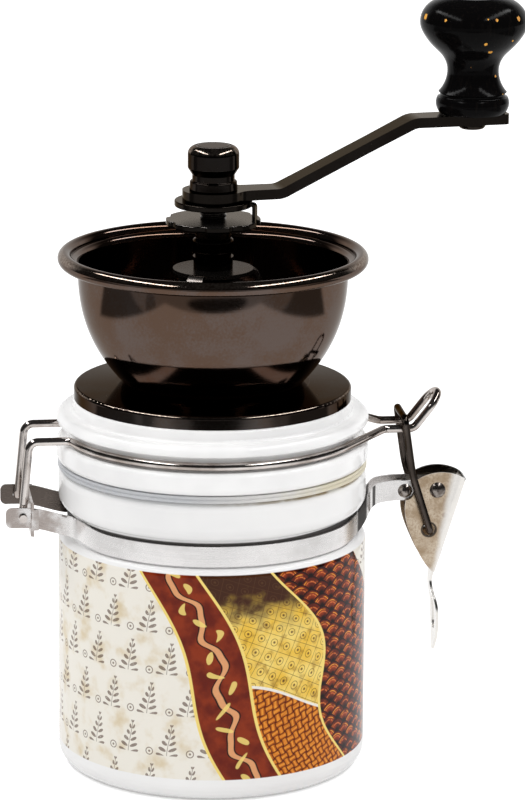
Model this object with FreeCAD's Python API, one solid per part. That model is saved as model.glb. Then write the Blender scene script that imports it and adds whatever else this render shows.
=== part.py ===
import FreeCAD, Part
import math
import os

# Hand cranked coffee mill on a ceramic jar with a wire bail lid.
# Lengths are millimetres, angles degrees. The origin is the middle of the jar's base, +Z is up,
# the lid hinge lies on the -X side and the latch on the +X side.

# Sheet, wire and running clearances
STRAP_SHEET = 0.8
BAIL_WIRE = 2.5
LINK_WIRE = 2.3
RUN = 0.08
FREE = 0.3
FIT = 0.1

# Jar
JAR_R = 48.0
JAR_WALL = 4.7
JAR_FLOOR = 5.0
FOOT_WIDTH = 8.0
FOOT_RECESS = 1.2
FOOT_BEVEL = 1.5
JAR_CORNER = 5.0
BODY_TOP = 74.0
SHOULDER_R = 2.5
NECK_DEPTH = 2.7
NECK_HEIGHT = 8.3
COLLAR_R = 47.9
COLLAR_SLOPE = 1.7
COLLAR_HEIGHT = 10.7
MOUTH_LOW_LIFT = 4.0
INNER_SHOULDER_DROP = 2.0

# Neck band, in two halves that end in hinge ears and latch ears
BAND_HEIGHT = 6.3
BAND_LIFT = 3.8
BAND_GAP = 0.3
HINGE_REACH = 12.1
HINGE_RISE = 4.9
HINGE_EAR_Y = 14.0
HINGE_EAR_END = 5.3
HINGE_EAR_BLEND = 4.0
LATCH_EAR_Y = 3.8
LATCH_EAR_RISE = 7.4
LATCH_EAR_CLEAR = 0.9
LATCH_EAR_BEND = 1.6
LATCH_EAR_END = 3.7
EAR_CORNER = 1.8
HINGE_SWEEP = [(-13.9, 0.0), (-7.9, 0.6), (-3.4, 1.6), (2.1, 3.0)]
HINGE_SWEEP_END = (5.5, 0.6)
LATCH_SWEEP = [(-11.9, 0.0), (-5.9, 0.74), (-2.9, 1.48), (-0.9, 2.44), (1.1, 4.44), (3.1, 6.66), (5.6, 7.4)]

# Tie plate across the hinge ears
TIE_INSET = 2.7
TIE_DROP = 5.7
TIE_HEIGHT = 10.6
TIE_LAP = 1.2
TIE_LIP = 2.4
TIE_FOOT_TRIM = 2.0
TIE_HEAD_TRIM = 2.2
TIE_SLOT_DROP = 0.35

# Lid ring of glazed ceramic and its gasket
LID_OVERHANG = 0.6
GASKET_T = 2.1
GASKET_INSET = 0.3
GASKET_GAP = 0.2
GROOVE_DEPTH = 3.5
GROOVE_HEIGHT = 4.8
BULGE_HEIGHT = 7.1
SHOULDER_HEIGHT = 3.8
LEDGE_WIDTH = 5.2
LID_NECK_HEIGHT = 3.8
PLUG_CLEAR = 3.0
PLUG_WALL = 5.5
PLUG_DEPTH = 7.0
LID_RECESS_DEPTH = 10.0

# Bail wire
BAIL_SEAT = 0.15
BAIL_LEG_Y = 11.3
BAIL_LEG_BLEND = 3.0
BAIL_CORNER_INSET = 2.25
BAIL_LIFT = 1.9
BAIL_CORNER_BEND = 3.0
BAIL_PIN_BEND = 1.8
BAIL_PIN_END = 15.6
TONGUE_Y = 5.5
TONGUE_RUN = 9.3
TONGUE_BEND = 3.0
TONGUE_INSET = 7.9
TONGUE_ANGLE = 52.0
TONGUE_RISE = 13.0

# Latch lever, its pivot and the wire link
PIVOT_REACH = 22.4
PIVOT_LIFT = 0.6
LEVER_WIDTH = 11.0
LEVER_SHEET = 0.8
LEVER_EDGE_R = 2.2
LEVER_TOP = (9.3, 3.0)
LEVER_FOOT = (-0.1, -26.8)
LEVER_CREST = (-1.0, 5.4)
LEVER_FLANK = [(-10.1, -7.4), (-9.0, -12.3), (-7.0, -17.3), (-3.3, -24.2)]
HORN_REACH = 7.1
TAIL_WIDTH = 13.0
TAIL_NECK = 4.6
TAIL_ROOT = 3.6
TAIL_LINE = [(-0.7, -4.0), (0.4, -9.5), (1.0, -15.0), (1.0, -21.0), (0.6, -26.5)]
TAIL_FLANK = [(0.26, 2.0), (0.07, -1.5), (0.0, -3.6), (0.24, -6.0), (0.81, -9.5), (1.0, -14.0), (0.79, -18.8),
              (0.24, -23.0)]
TAIL_TIP = 0.6
TAIL_SLOT_WIDTH = 4.4
TAIL_SLOT_TOP = 9.2
TAIL_SLOT_LENGTH = 10.6
HOOK_INSET = 2.56
HOOK_DROP = 12.74
HOOK_HOLE_R = 2.0
HOOK_BEND = 1.5
HOOK_END = 4.35
BAR_INSET = 11.1
BAR_LIFT = 3.75
BAR_BEND = 1.8
LINK_LEG_Y = 8.3
LINK_KNEE_INSET = 8.4
LINK_KNEE_LIFT = 5.7
LINK_KNEE_BEND = 40.0
PIVOT_SHANK_R = 1.75
PIVOT_HEAD_R = 2.5
PIVOT_HEAD_T = 1.1
SPACER_INSET = 10.1
SPACER_LIFT = 0.3
SPACER_SHANK_R = 1.5
SPACER_SLEEVE_R = 2.4
SPACER_HEAD_R = 2.25
SPACER_HEAD_T = 1.4

# Cover plate and hopper bowl
COVER_INSET = 0.3
COVER_SHEET = 1.0
COVER_SKIRT = 4.0
COVER_EDGE_R = 1.0
COVER_DOME = 1.0
COVER_FLAT_R = 30.0
CHUTE_R = 17.0
BOWL_SHEET = 0.8
BOWL_PROFILE = [(27.5, 0.0), (31.0, 4.2), (34.0, 8.9), (37.2, 14.1), (39.6, 20.1), (41.0, 26.0),
                (41.6, 31.6)]
RIM_BEAD_R = 2.25
RIM_OUTER_R = 47.9
RIM_HEIGHT = 41.2
RIM_CURL_END = -110.0

# Bearing bridge in the bowl and its bush
BRIDGE_R = 12.4
BRIDGE_SHEET = 1.2
BRIDGE_HEIGHT = 35.7
BRIDGE_LEGS = 3
BRIDGE_LEG_WIDTH = 5.0
BRIDGE_LEG_BEND = 2.5
BRIDGE_ANKLE_BEND = 1.5
BRIDGE_FOOT_R = 22.0
BRIDGE_FOOT_END = 26.0
BUSH_R = 6.1
BUSH_BEAD_R = 6.25
BUSH_NECK_R = 5.6
BUSH_RISE = 9.4
BUSH_DROP = 6.2
BUSH_COLLAR_RISE = 3.4
BUSH_COLLAR_T = 0.4
BUSH_BEAD_T = 4.2

# Burr housing, burrs and lower bearing
HOUSING_R = 24.0
HOUSING_WALL = 3.4
HOUSING_DROP = 11.0
HOUSING_BOSS_R = 4.2
CLAMP_T = 3.4
CLAMP_INSET = 0.5
CLAMP_NOTCHES = 4
CLAMP_NOTCH_R = 2.5
CLAMP_NOTCH_DEPTH = 1.5
BURR_SEAT_DROP = 33.5
OUTER_BURR_HEIGHT = 20.0
BURR_TEETH = 16
BURR_TWIST = 24.0
BURR_TOOTH = 1.6
BURR_GAP = 0.6
BURR_LIP = 1.0
OUTER_BURR_WALL = 4.6
INNER_BURR_TAPER = 1.4
INNER_BURR_TOP_R = 8.0
INNER_BURR_HANG = 1.0
INNER_BURR_WAIST = 7.0
INNER_BURR_HEIGHT = 23.0
BRACKET_LIFT = 0.5
BRACKET_T = 3.0
BRACKET_SPOKES = 3
BRACKET_SPOKE_WIDTH = 5.0
BRACKET_HUB_R = 6.0
BRACKET_HUB_HEIGHT = 5.5
BRACKET_RING_WALL = 2.4
SCREW_COUNT = 3
SCREW_SHANK_R = 2.0
SCREW_HEAD_R = 3.6
SCREW_HEAD_T = 2.2
SCREW_SLOT_WIDTH = 0.9
SCREW_SLOT_DEPTH = 1.1
SCREW_LENGTH = 18.3

# Spindle line
SPINDLE_R = 3.0
THREAD_R = 3.7
SPINDLE_STEP_UP = 0.2
THREAD_START = 12.5
BURR_NUT_FLAT = 4.9
BURR_NUT_T = 3.0
SPRING_WIRE = 1.2
SPRING_R = 5.4
SPRING_TURNS = 6
SPRING_PITCH = 1.75
SEAT_R = 6.6
SEAT_T = 1.2
PIN_R = 1.0
PIN_LENGTH = 11.0
NUT_R = 14.6
NUT_LOBES = 8
NUT_NOTCH_R = 3.6
NUT_NOTCH_DEPTH = 1.0
NUT_T = 1.8
NUT_HUB_HEIGHT = 5.8
NUT_HUB_R = 5.5
STOPPER_R = 12.0
STOPPER_LIFT = 4.0
STOPPER_T = 1.9
TAB_WIDTH = 2.6
TAB_T = 1.0
TAB_BEND = 1.4
TAB_SINK = 0.3
TAB_REACH = 13.7
TAB_DROP = 1.3
TAB_ANGLE = -22.5

# Crank, cap nut and knob
CRANK_TURN = 8.5
ARM_T = 3.2
ARM_HUB_R = 9.6
ARM_HUB_BLEND = 6.0
ARM_NEAR_WIDTH = 9.5
ARM_MID_WIDTH = 8.0
ARM_END_WIDTH = 9.3
ARM_BEND_NEAR = 20.5
ARM_BEND_FAR = 63.0
ARM_RISE = 20.2
ARM_BEND_R = 5.0
ARM_END = 94.0
ARM_CORNER = 1.8
KNOB_X = 83.0
CAP_R = 7.95
CAP_COLLAR_R = 7.35
CAP_NECK_R = 6.55
CAP_COLLAR_T = 2.8
CAP_NECK_TOP = 4.7
CAP_CHAMFER_TOP = 6.9
CAP_HEIGHT = 13.7
CAP_THREAD_ROOM = 2.0
CAP_COLLAR_TAPER = 0.1
CAP_CROWN_R = 2.6
KNOB_PROFILE = [(8.1, 14.5), (9.5, 17.7), (12.5, 20.8), (15.1, 24.0), (16.6, 27.4), (16.4, 30.3),
                (14.4, 33.5), (10.5, 35.7), (8.5, 36.3)]
KNOB_FOOT = [(10.2, 0.0), (11.2, 1.8), (11.4, 3.5), (10.9, 5.0)]
KNOB_WAIST = [(10.6, 6.6), (9.4, 8.2), (8.2, 11.3), (8.1, 14.5)]
KNOB_GROOVE_DEPTH = 0.5
KNOB_POCKET_R = 6.5
KNOB_POCKET_DEPTH = 6.0
KNOB_PIN_R = 3.0
KNOB_HEAD_R = 5.2
KNOB_HEAD_T = 2.0
KNOB_RIVET_R = 4.2
KNOB_RIVET_T = 1.6

# Places that follow from the sizes above: jar and strap
FOOT_INNER_R = JAR_R - FOOT_WIDTH
NECK_TOP = BODY_TOP + NECK_HEIGHT
COLLAR_LOW = NECK_TOP + COLLAR_SLOPE
JAR_TOP = COLLAR_LOW + COLLAR_HEIGHT
NECK_R = COLLAR_R - NECK_DEPTH
MOUTH_R = NECK_R - JAR_WALL
BAND_R = NECK_R + BAND_GAP + STRAP_SHEET / 2
BAND_Z = BODY_TOP + BAND_LIFT
HINGE_X = -COLLAR_R - HINGE_REACH
HINGE_Z = BAND_Z + HINGE_RISE
TIE_X = HINGE_X + TIE_INSET
TIE_LOW = HINGE_Z - TIE_DROP
TIE_HIGH = TIE_LOW + TIE_HEIGHT
LATCH_EAR_Z = BAND_Z + LATCH_EAR_RISE
LATCH_EAR_START = COLLAR_R + LATCH_EAR_CLEAR
EAR_OUTSIDE = LATCH_EAR_Y + STRAP_SHEET / 2

# Places that follow: lid, bail and latch
LID_R = COLLAR_R + LID_OVERHANG
GASKET_R = LID_R - GASKET_INSET
GASKET_LOW = JAR_TOP + GASKET_GAP
LID_LOW = GASKET_LOW + GASKET_T
GROOVE_LOW = LID_LOW + BULGE_HEIGHT
GROOVE_TOP = GROOVE_LOW + GROOVE_HEIGHT
GROOVE_R = LID_R - GROOVE_DEPTH
LEDGE_R = LID_R - LEDGE_WIDTH
LEDGE_Z = GROOVE_TOP + SHOULDER_HEIGHT
LID_TOP = LEDGE_Z + LID_NECK_HEIGHT
PLUG_R = MOUTH_R - PLUG_CLEAR
LID_RECESS_R = PLUG_R - PLUG_WALL
PLUG_LOW = LID_LOW - PLUG_DEPTH
LID_BORE_R = BRIDGE_FOOT_R + HOUSING_BOSS_R + FREE
CLAMP_R = LID_RECESS_R - CLAMP_INSET
RECESS_Z = PLUG_LOW + LID_RECESS_DEPTH
BAIL_R = GROOVE_R + BAIL_SEAT + BAIL_WIRE / 2
BAIL_Z = GROOVE_LOW + BAIL_LIFT
BAIL_CORNER_X = HINGE_X + BAIL_CORNER_INSET
PIVOT_X = COLLAR_R + PIVOT_REACH
PIVOT_Z = LATCH_EAR_Z + PIVOT_LIFT
SPACER_X = PIVOT_X - SPACER_INSET
SPACER_Z = LATCH_EAR_Z + SPACER_LIFT
TONGUE_ELBOW_X = PIVOT_X - TONGUE_INSET
TONGUE_START = TONGUE_ELBOW_X - TONGUE_RUN
HOOK_X = PIVOT_X - HOOK_INSET
HOOK_Z = PIVOT_Z - HOOK_DROP
BAR_X = PIVOT_X - BAR_INSET
BAR_Z = BAIL_Z + BAR_LIFT
LINK_KNEE_X = PIVOT_X - LINK_KNEE_INSET
LINK_KNEE_Z = PIVOT_Z + LINK_KNEE_LIFT
CHEEK = LEVER_WIDTH / 2
CHEEK_INSIDE = CHEEK - LEVER_SHEET

# Places that follow: cover, bowl, bridge and bush
COVER_R = LEDGE_R - COVER_INSET
COVER_TOP = LID_TOP + COVER_SKIRT + COVER_DOME
BOWL_LOW = COVER_TOP
BOWL_FLOOR = BOWL_LOW + BOWL_SHEET
RIM_TOP = BOWL_LOW + RIM_HEIGHT
BRIDGE_TOP = BOWL_LOW + BRIDGE_HEIGHT
BUSH_TOP = BRIDGE_TOP + BUSH_RISE
BUSH_LOW = BRIDGE_TOP - BUSH_DROP
BUSH_COLLAR_LOW = BRIDGE_TOP + BUSH_COLLAR_RISE
BUSH_COLLAR_TOP = BUSH_COLLAR_LOW + BUSH_COLLAR_T
BUSH_BEAD_LOW = BUSH_TOP - BUSH_BEAD_T
BUSH_BORE_R = THREAD_R + RUN

# Places that follow: the mill works and the spindle line
BURR_SEAT_Z = COVER_TOP - BURR_SEAT_DROP
OUTER_BURR_R = HOUSING_R - HOUSING_WALL
INNER_BURR_BASE_R = OUTER_BURR_R - OUTER_BURR_WALL - BURR_GAP
INNER_BURR_WAIST_R = INNER_BURR_BASE_R - INNER_BURR_TAPER
OUTER_BURR_LOW = BURR_SEAT_Z - OUTER_BURR_HEIGHT
HOUSING_LOW = OUTER_BURR_LOW - HOUSING_DROP
INNER_BURR_LOW = OUTER_BURR_LOW - INNER_BURR_HANG
INNER_BURR_TOP = INNER_BURR_LOW + INNER_BURR_HEIGHT
SCREW_END_Z = BOWL_FLOOR - SCREW_LENGTH
SPINDLE_LOW = HOUSING_LOW + SPINDLE_STEP_UP
THREAD_LOW = BOWL_LOW + THREAD_START
SPRING_LOW = BUSH_LOW - FREE - SPRING_WIRE / 2 - SPRING_TURNS * SPRING_PITCH
SEAT_TOP = SPRING_LOW - SPRING_WIRE / 2
SPRING_PIN_Z = SEAT_TOP - SEAT_T - PIN_R
NUT_HUB_LOW = BUSH_TOP + FREE
NUT_TOP = NUT_HUB_LOW + NUT_HUB_HEIGHT
STOPPER_LOW = NUT_TOP + STOPPER_LIFT
STOPPER_TOP = STOPPER_LOW + STOPPER_T
TAB_LOW = NUT_TOP - TAB_DROP
ARM_LOW = STOPPER_TOP
ARM_TOP = ARM_LOW + ARM_T
ARM_END_TOP = ARM_TOP + ARM_RISE
CAP_THREAD_TOP = ARM_TOP + CAP_COLLAR_T + CAP_THREAD_ROOM
KNOB_LOW = ARM_END_TOP + FREE

V = FreeCAD.Vector
UP = V(0, 0, 1)
FAR = 200.0


def on_xy(u, v):
    return V(u, v, 0)


def on_xz(u, v):
    return V(u, 0, v)


def on_yz(u, v):
    return V(0, u, v)


def unit(v):
    return v * (1.0 / v.Length)


def polar(radius, angle):
    return radius * math.cos(math.radians(angle)), radius * math.sin(math.radians(angle))


# An arc from start to end that leaves start along the given direction
def arc_leaving(start, direction, end):
    chord = end - start
    along = unit(chord)
    turn = unit(direction).getAngle(along)
    side = unit(direction) - along * unit(direction).dot(along)
    middle = (start + end) * 0.5 + unit(side) * (chord.Length / 2 * math.tan(turn / 2))
    return Part.Arc(start, middle, end).toShape()


# Straight runs through the corner points; a corner with a radius is turned by a tangent arc
def bent_path(corners, closed=False):
    count = len(corners)
    points = [c[0] for c in corners]
    entries = []
    exits = []
    for i, (point, radius) in enumerate(corners):
        if radius == 0 or (not closed and i in (0, count - 1)):
            entries.append(point)
            exits.append(point)
            continue
        before = unit(points[i - 1] - point)
        after = unit(points[(i + 1) % count] - point)
        reach = radius / math.tan(before.getAngle(after) / 2)
        entries.append(point + before * reach)
        exits.append(point + after * reach)
    edges = []
    for i in range(count):
        if (exits[i] - entries[i]).Length > 1e-6:
            edges.append(arc_leaving(entries[i], points[i] - entries[i], exits[i]))
        if i == count - 1 and not closed:
            break
        ahead = entries[(i + 1) % count]
        if (ahead - exits[i]).Length > 1e-6:
            edges.append(Part.LineSegment(exits[i], ahead).toShape())
    return edges


# A flat face whose corners are (u, v) or (u, v, radius) on the plane that the lift function names
def outline(corners, lift):
    spots = [(lift(c[0], c[1]), c[2] if len(c) > 2 else 0) for c in corners]
    return Part.Face(Part.Wire(bent_path(spots, True)))


def turned(corners):
    return outline(corners, on_xz).revolve(V(0, 0, 0), UP, 360)


def turned_face(edges):
    return Part.Face(Part.Wire(edges)).revolve(V(0, 0, 0), UP, 360)


def disc(radius, low, high, x=0.0, y=0.0):
    return Part.makeCylinder(radius, high - low, V(x, y, low))


def rod_y(radius, x, z, low, high):
    return Part.makeCylinder(radius, high - low, V(x, low, z), V(0, 1, 0))


def both_sides(shape):
    return [shape, shape.mirror(V(0, 0, 0), V(0, 1, 0))]


def joined(shapes):
    return shapes[0].multiFuse(shapes[1:]).removeSplitter()


def curve(points, lift, start=None, end=None):
    spline = Part.BSplineCurve()
    spots = [lift(u, v) for u, v in points]
    if start is None:
        spline.interpolate(spots)
    else:
        spline.interpolate(Points=spots, InitialTangent=lift(*start), FinalTangent=lift(*end))
    return spline


def wire_along(edges, radius):
    path = Part.Wire(edges)
    first = path.OrderedEdges[0]
    start = path.OrderedVertexes[0].Point
    heading = first.tangentAt(first.getParameterByLength(0))
    section = Part.Wire(Part.makeCircle(radius, start, heading))
    return path.makePipeShell([section], True, False)


def around(shape, count, first=0.0):
    copies = []
    for i in range(count):
        copy = shape.copy()
        copy.rotate(V(0, 0, 0), UP, first + 360.0 * i / count)
        copies.append(copy)
    return copies


def crank_side(shape):
    shape.rotate(V(0, 0, 0), UP, CRANK_TURN)
    return shape


# Jar: cylindrical body, drawn-in neck for the band and a heavy rounded collar
def make_jar():
    inner = JAR_R - JAR_WALL
    return turned([
        (0, FOOT_RECESS), (FOOT_INNER_R - FOOT_BEVEL, FOOT_RECESS, 0.8), (FOOT_INNER_R, 0, 0.6),
        (JAR_R, 0, JAR_CORNER), (JAR_R, BODY_TOP, SHOULDER_R), (NECK_R, BODY_TOP, 0.2),
        (NECK_R, NECK_TOP, 0.6), (COLLAR_R, COLLAR_LOW, 4.0), (COLLAR_R, JAR_TOP, 3.0),
        (MOUTH_R, JAR_TOP, 1.6), (MOUTH_R, BODY_TOP + MOUTH_LOW_LIFT, 4.0),
        (inner, BODY_TOP - INNER_SHOULDER_DROP, 4.0),
        (inner, JAR_FLOOR, 6.0), (0, JAR_FLOOR)])


# One side of the strap seen from above, moved out from its middle line by the given distance
def strap_side(shift):
    radius = BAND_R + shift
    blend = HINGE_EAR_BLEND
    ear = HINGE_EAR_Y + blend
    blend_x = -math.sqrt((BAND_R + blend) ** 2 - ear ** 2)
    ear_y = -HINGE_EAR_Y - shift
    left_end = V(HINGE_X - HINGE_EAR_END, ear_y, 0)
    left_turn = V(blend_x, ear_y, 0)
    on_left = unit(V(blend_x, -ear, 0)) * radius
    reach = math.hypot(LATCH_EAR_START, LATCH_EAR_Y)
    leave = math.degrees(math.atan2(-LATCH_EAR_Y, LATCH_EAR_START) - math.acos(BAND_R / reach))
    out = V(*polar(1, leave), 0)
    ahead = V(*polar(1, leave + 90), 0)
    on_right = out * radius
    bend = LATCH_EAR_BEND
    run = (LATCH_EAR_Y + bend + (out * (BAND_R + bend)).y) / -ahead.y
    middle = out * (BAND_R + bend) + ahead * run
    right_turn = middle - out * (bend - shift)
    right_start = V(middle.x, -LATCH_EAR_Y - shift, 0)
    right_end = V(PIVOT_X + LATCH_EAR_END, right_start.y, 0)
    first = Part.Arc(on_left, V(0, -radius, 0), on_right).toShape()
    return [Part.LineSegment(left_end, left_turn).toShape(),
            arc_leaving(left_turn, V(1, 0, 0), on_left), first,
            Part.LineSegment(on_right, right_turn).toShape(),
            arc_leaving(right_turn, ahead, right_start),
            Part.LineSegment(right_start, right_end).toShape()], left_end, right_end


# The strap's height zone seen from the front: level round the neck, lifted to both pairs of ears
def strap_zone():
    half = BAND_HEIGHT / 2
    left = [(-COLLAR_R - x, BAND_Z + rise) for x, rise in reversed(HINGE_SWEEP)]
    left = [(HINGE_X - HINGE_EAR_END, HINGE_Z), (HINGE_X, HINGE_Z),
            (HINGE_X + HINGE_SWEEP_END[0], HINGE_Z - HINGE_SWEEP_END[1])] + left
    right = [(COLLAR_R + x, BAND_Z + rise) for x, rise in LATCH_SWEEP]
    right.append((PIVOT_X + LATCH_EAR_END, LATCH_EAR_Z))
    level = (1, 0)
    rims = []
    for rise in (-half, half):
        low = curve([(x, z + rise) for x, z in left], on_xz, level, level)
        high = curve([(x, z + rise) for x, z in right], on_xz, level, level)
        flat = Part.LineSegment(low.EndPoint, high.StartPoint)
        rims.append([low.toShape(), flat.toShape(), high.toShape()])
    ends = []
    for spot in (0, -1):
        x, z = (left + right)[spot]
        ends.append(Part.LineSegment(on_xz(x, z - half), on_xz(x, z + half)).toShape())
    face = Part.Face(Part.Wire(rims[0] + [ends[1]] + rims[1][::-1] + [ends[0]]))
    face.translate(V(0, -FAR / 2, 0))
    prism = face.extrude(V(0, FAR, 0))
    limits = prism.BoundBox
    corners = [e for e in prism.Edges if e.Length > FAR * 0.99
               and (abs(e.CenterOfMass.x - limits.XMin) < 0.01 or abs(e.CenterOfMass.x - limits.XMax) < 0.01)]
    return prism.makeFillet(EAR_CORNER, corners)


def make_band_front():
    inner, inner_left, inner_right = strap_side(-STRAP_SHEET / 2)
    outer, outer_left, outer_right = strap_side(STRAP_SHEET / 2)
    ends = [Part.LineSegment(inner_left, outer_left).toShape(),
            Part.LineSegment(inner_right, outer_right).toShape()]
    face = Part.Face(Part.Wire(Part.__sortEdges__(inner + outer + ends)))
    strap = face.extrude(V(0, 0, FAR)).common(strap_zone())
    hinge_hole = rod_y(BAIL_WIRE / 2 + RUN, HINGE_X, HINGE_Z, -HINGE_EAR_Y - 2, -HINGE_EAR_Y + 2)
    spacer_hole = rod_y(SPACER_SHANK_R, SPACER_X, SPACER_Z, -EAR_OUTSIDE - 1, 0)
    pivot_hole = rod_y(PIVOT_SHANK_R, PIVOT_X, PIVOT_Z, -EAR_OUTSIDE - 1, 0)
    return strap.cut([hinge_hole, spacer_hole, pivot_hole])


# Tie plate: a shallow channel that both hinge ears pass through
def make_hinge_tie():
    half = HINGE_EAR_Y + STRAP_SHEET / 2 + TIE_LAP
    sheet = STRAP_SHEET
    face_x = TIE_X - sheet / 2
    channel = outline([
        (face_x, -half, 0.9), (face_x + TIE_LIP, -half), (face_x + TIE_LIP, -half + sheet),
        (face_x + sheet, -half + sheet, 0.3), (face_x + sheet, half - sheet, 0.3),
        (face_x + TIE_LIP, half - sheet), (face_x + TIE_LIP, half), (face_x, half, 0.9)], on_xy)
    channel.translate(V(0, 0, TIE_LOW))
    plate = channel.extrude(V(0, 0, TIE_HIGH - TIE_LOW))
    lip_x = face_x + sheet + 2 * FIT
    head = Part.makeBox(TIE_LIP * 2, half * 2 + 2, TIE_HEAD_TRIM + 1,
                        V(lip_x, -half - 1, TIE_HIGH - TIE_HEAD_TRIM))
    foot = Part.makeBox(TIE_LIP * 2, half * 2 + 2, TIE_FOOT_TRIM + 1, V(lip_x, -half - 1, TIE_LOW - 1))
    slot_low = HINGE_Z - TIE_SLOT_DROP - BAND_HEIGHT / 2 - 2 * FIT
    slot = Part.makeBox(sheet * 3, sheet + 2 * FIT, BAND_HEIGHT + 4 * FIT,
                        V(face_x - sheet, HINGE_EAR_Y - sheet / 2 - FIT, slot_low))
    return plate.cut([head, foot] + both_sides(slot))


# A rivet along Y with a domed head at each end
def rivet(x, z, shank_r, sleeve_r, sleeve_end, grip, head_r, head_t):
    top = V(0, grip + head_t, 0)
    rim = V(head_r, grip, 0)
    axis = Part.LineSegment(V(0, -grip - head_t, 0), top).toShape()
    half = [arc_leaving(top, V(1, 0, 0), rim)]
    steps = [rim, V(shank_r, grip, 0)]
    if sleeve_r > shank_r:
        steps += [V(shank_r, sleeve_end, 0), V(sleeve_r, sleeve_end, 0), V(sleeve_r, 0, 0)]
    else:
        steps += [V(shank_r, 0, 0)]
    for a, b in zip(steps, steps[1:]):
        half.append(Part.LineSegment(a, b).toShape())
    other = [e.mirror(V(0, 0, 0), V(0, 1, 0)) for e in half]
    face = Part.Face(Part.Wire(Part.__sortEdges__([axis] + half + other)))
    body = face.revolve(V(0, 0, 0), V(0, 1, 0), 360)
    body.translate(V(x, 0, z))
    return body


def make_spacer_rivet():
    return rivet(SPACER_X, SPACER_Z, SPACER_SHANK_R, SPACER_SLEEVE_R,
                 LATCH_EAR_Y - STRAP_SHEET / 2, EAR_OUTSIDE, SPACER_HEAD_R, SPACER_HEAD_T)


def make_lever_rivet():
    return rivet(PIVOT_X, PIVOT_Z, PIVOT_SHANK_R, PIVOT_SHANK_R, 0,
                 CHEEK + FIT, PIVOT_HEAD_R, PIVOT_HEAD_T)


def make_lid_ring():
    return turned([
        (LID_RECESS_R, PLUG_LOW, 0.6), (PLUG_R, PLUG_LOW, 1.5), (PLUG_R, LID_LOW),
        (LID_R, LID_LOW, 2.2), (LID_R, GROOVE_LOW, 1.6), (GROOVE_R, GROOVE_LOW, 0.8),
        (GROOVE_R, GROOVE_TOP, 0.8), (LID_R, GROOVE_TOP, 1.4), (LID_R, LEDGE_Z, 2.3),
        (LEDGE_R, LEDGE_Z, 0.8), (LEDGE_R, LID_TOP, 0.8), (LID_BORE_R, LID_TOP),
        (LID_BORE_R, RECESS_Z), (LID_RECESS_R, RECESS_Z)])


def make_gasket():
    return turned([(PLUG_R, GASKET_LOW), (GASKET_R, GASKET_LOW, 0.6),
                   (GASKET_R, LID_LOW, 0.6), (PLUG_R, LID_LOW)])


# Bail: one wire, pinned in both hinge ears, held by the lid groove and looped as the latch tongue
def make_bail_wire():
    blend = BAIL_LEG_BLEND
    centre_y = BAIL_LEG_Y + blend
    blend_x = -math.sqrt((BAIL_R + blend) ** 2 - centre_y ** 2)
    on_left = unit(V(blend_x, -centre_y, 0)) * BAIL_R + V(0, 0, BAIL_Z)
    leg = [(V(HINGE_X, -BAIL_PIN_END, HINGE_Z), 0), (V(HINGE_X, -BAIL_LEG_Y, HINGE_Z), BAIL_PIN_BEND),
           (V(BAIL_CORNER_X, -BAIL_LEG_Y, BAIL_Z), BAIL_CORNER_BEND), (V(blend_x, -BAIL_LEG_Y, BAIL_Z), 0)]
    front = bent_path(leg)
    front.append(arc_leaving(V(blend_x, -BAIL_LEG_Y, BAIL_Z), V(1, 0, 0), on_left))
    reach = math.hypot(TONGUE_START, TONGUE_Y)
    leave = math.degrees(math.atan2(-TONGUE_Y, TONGUE_START) - math.acos(BAIL_R / reach))
    on_right = V(*polar(BAIL_R, leave), BAIL_Z)
    front.append(Part.Arc(on_left, V(0, -BAIL_R, BAIL_Z), on_right).toShape())
    slope = math.radians(TONGUE_ANGLE)
    straight = TONGUE_RISE - TONGUE_Y
    loop_start = V(TONGUE_ELBOW_X + straight * math.cos(slope), -TONGUE_Y,
                   BAIL_Z + straight * math.sin(slope))
    front += bent_path([(on_right, 0), (V(TONGUE_START, -TONGUE_Y, BAIL_Z), TONGUE_BEND),
                        (V(TONGUE_ELBOW_X, -TONGUE_Y, BAIL_Z), TONGUE_BEND), (loop_start, 0)])
    tip = V(TONGUE_ELBOW_X + TONGUE_RISE * math.cos(slope), 0, BAIL_Z + TONGUE_RISE * math.sin(slope))
    loop_end = V(loop_start.x, TONGUE_Y, loop_start.z)
    rear = [e.mirror(V(0, 0, 0), V(0, 1, 0)) for e in front]
    loop = Part.Arc(loop_start, tip, loop_end).toShape()
    return wire_along(Part.__sortEdges__(front + [loop] + rear), BAIL_WIRE / 2)


# Lever: folded channel with two cheeks and a web, drawn out into a leaf shaped tail
def cheek_outline():
    pivot = V(PIVOT_X, 0, PIVOT_Z)
    top = pivot + on_xz(*LEVER_TOP)
    foot = pivot + on_xz(*LEVER_FOOT)
    crest = pivot + on_xz(*LEVER_CREST)
    spacer = V(SPACER_X, 0, SPACER_Z)
    horn_start = pivot + on_xz(*polar(HORN_REACH, 150))
    horn_middle = pivot + on_xz(*polar(HORN_REACH, 168))
    horn_end = pivot + on_xz(*polar(HORN_REACH, 186))
    clear = SPACER_HEAD_R + FREE + 2 * FIT
    notch_start = spacer + on_xz(*polar(clear, -45))
    notch_end = spacer + on_xz(*polar(clear, -85))
    heel = V(foot.x - LEVER_SHEET, 0, foot.z)
    flank = [(PIVOT_X + x, PIVOT_Z + z) for x, z in LEVER_FLANK]
    edge = curve([(notch_end.x, notch_end.z)] + flank + [(heel.x, heel.z)], on_xz)
    edges = [Part.LineSegment(foot, top).toShape(),
             Part.Arc(top, crest, horn_start).toShape(),
             Part.Arc(horn_start, horn_middle, horn_end).toShape(),
             Part.LineSegment(horn_end, notch_start).toShape(),
             Part.Arc(notch_start, spacer + on_xz(*polar(clear, -65)), notch_end).toShape(),
             edge.toShape(), Part.LineSegment(heel, foot).toShape()]
    return Part.Face(Part.Wire(edges))


def slab(face, half):
    moved = face.copy()
    moved.translate(V(0, -half, 0))
    return moved.extrude(V(0, 2 * half, 0))


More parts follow.
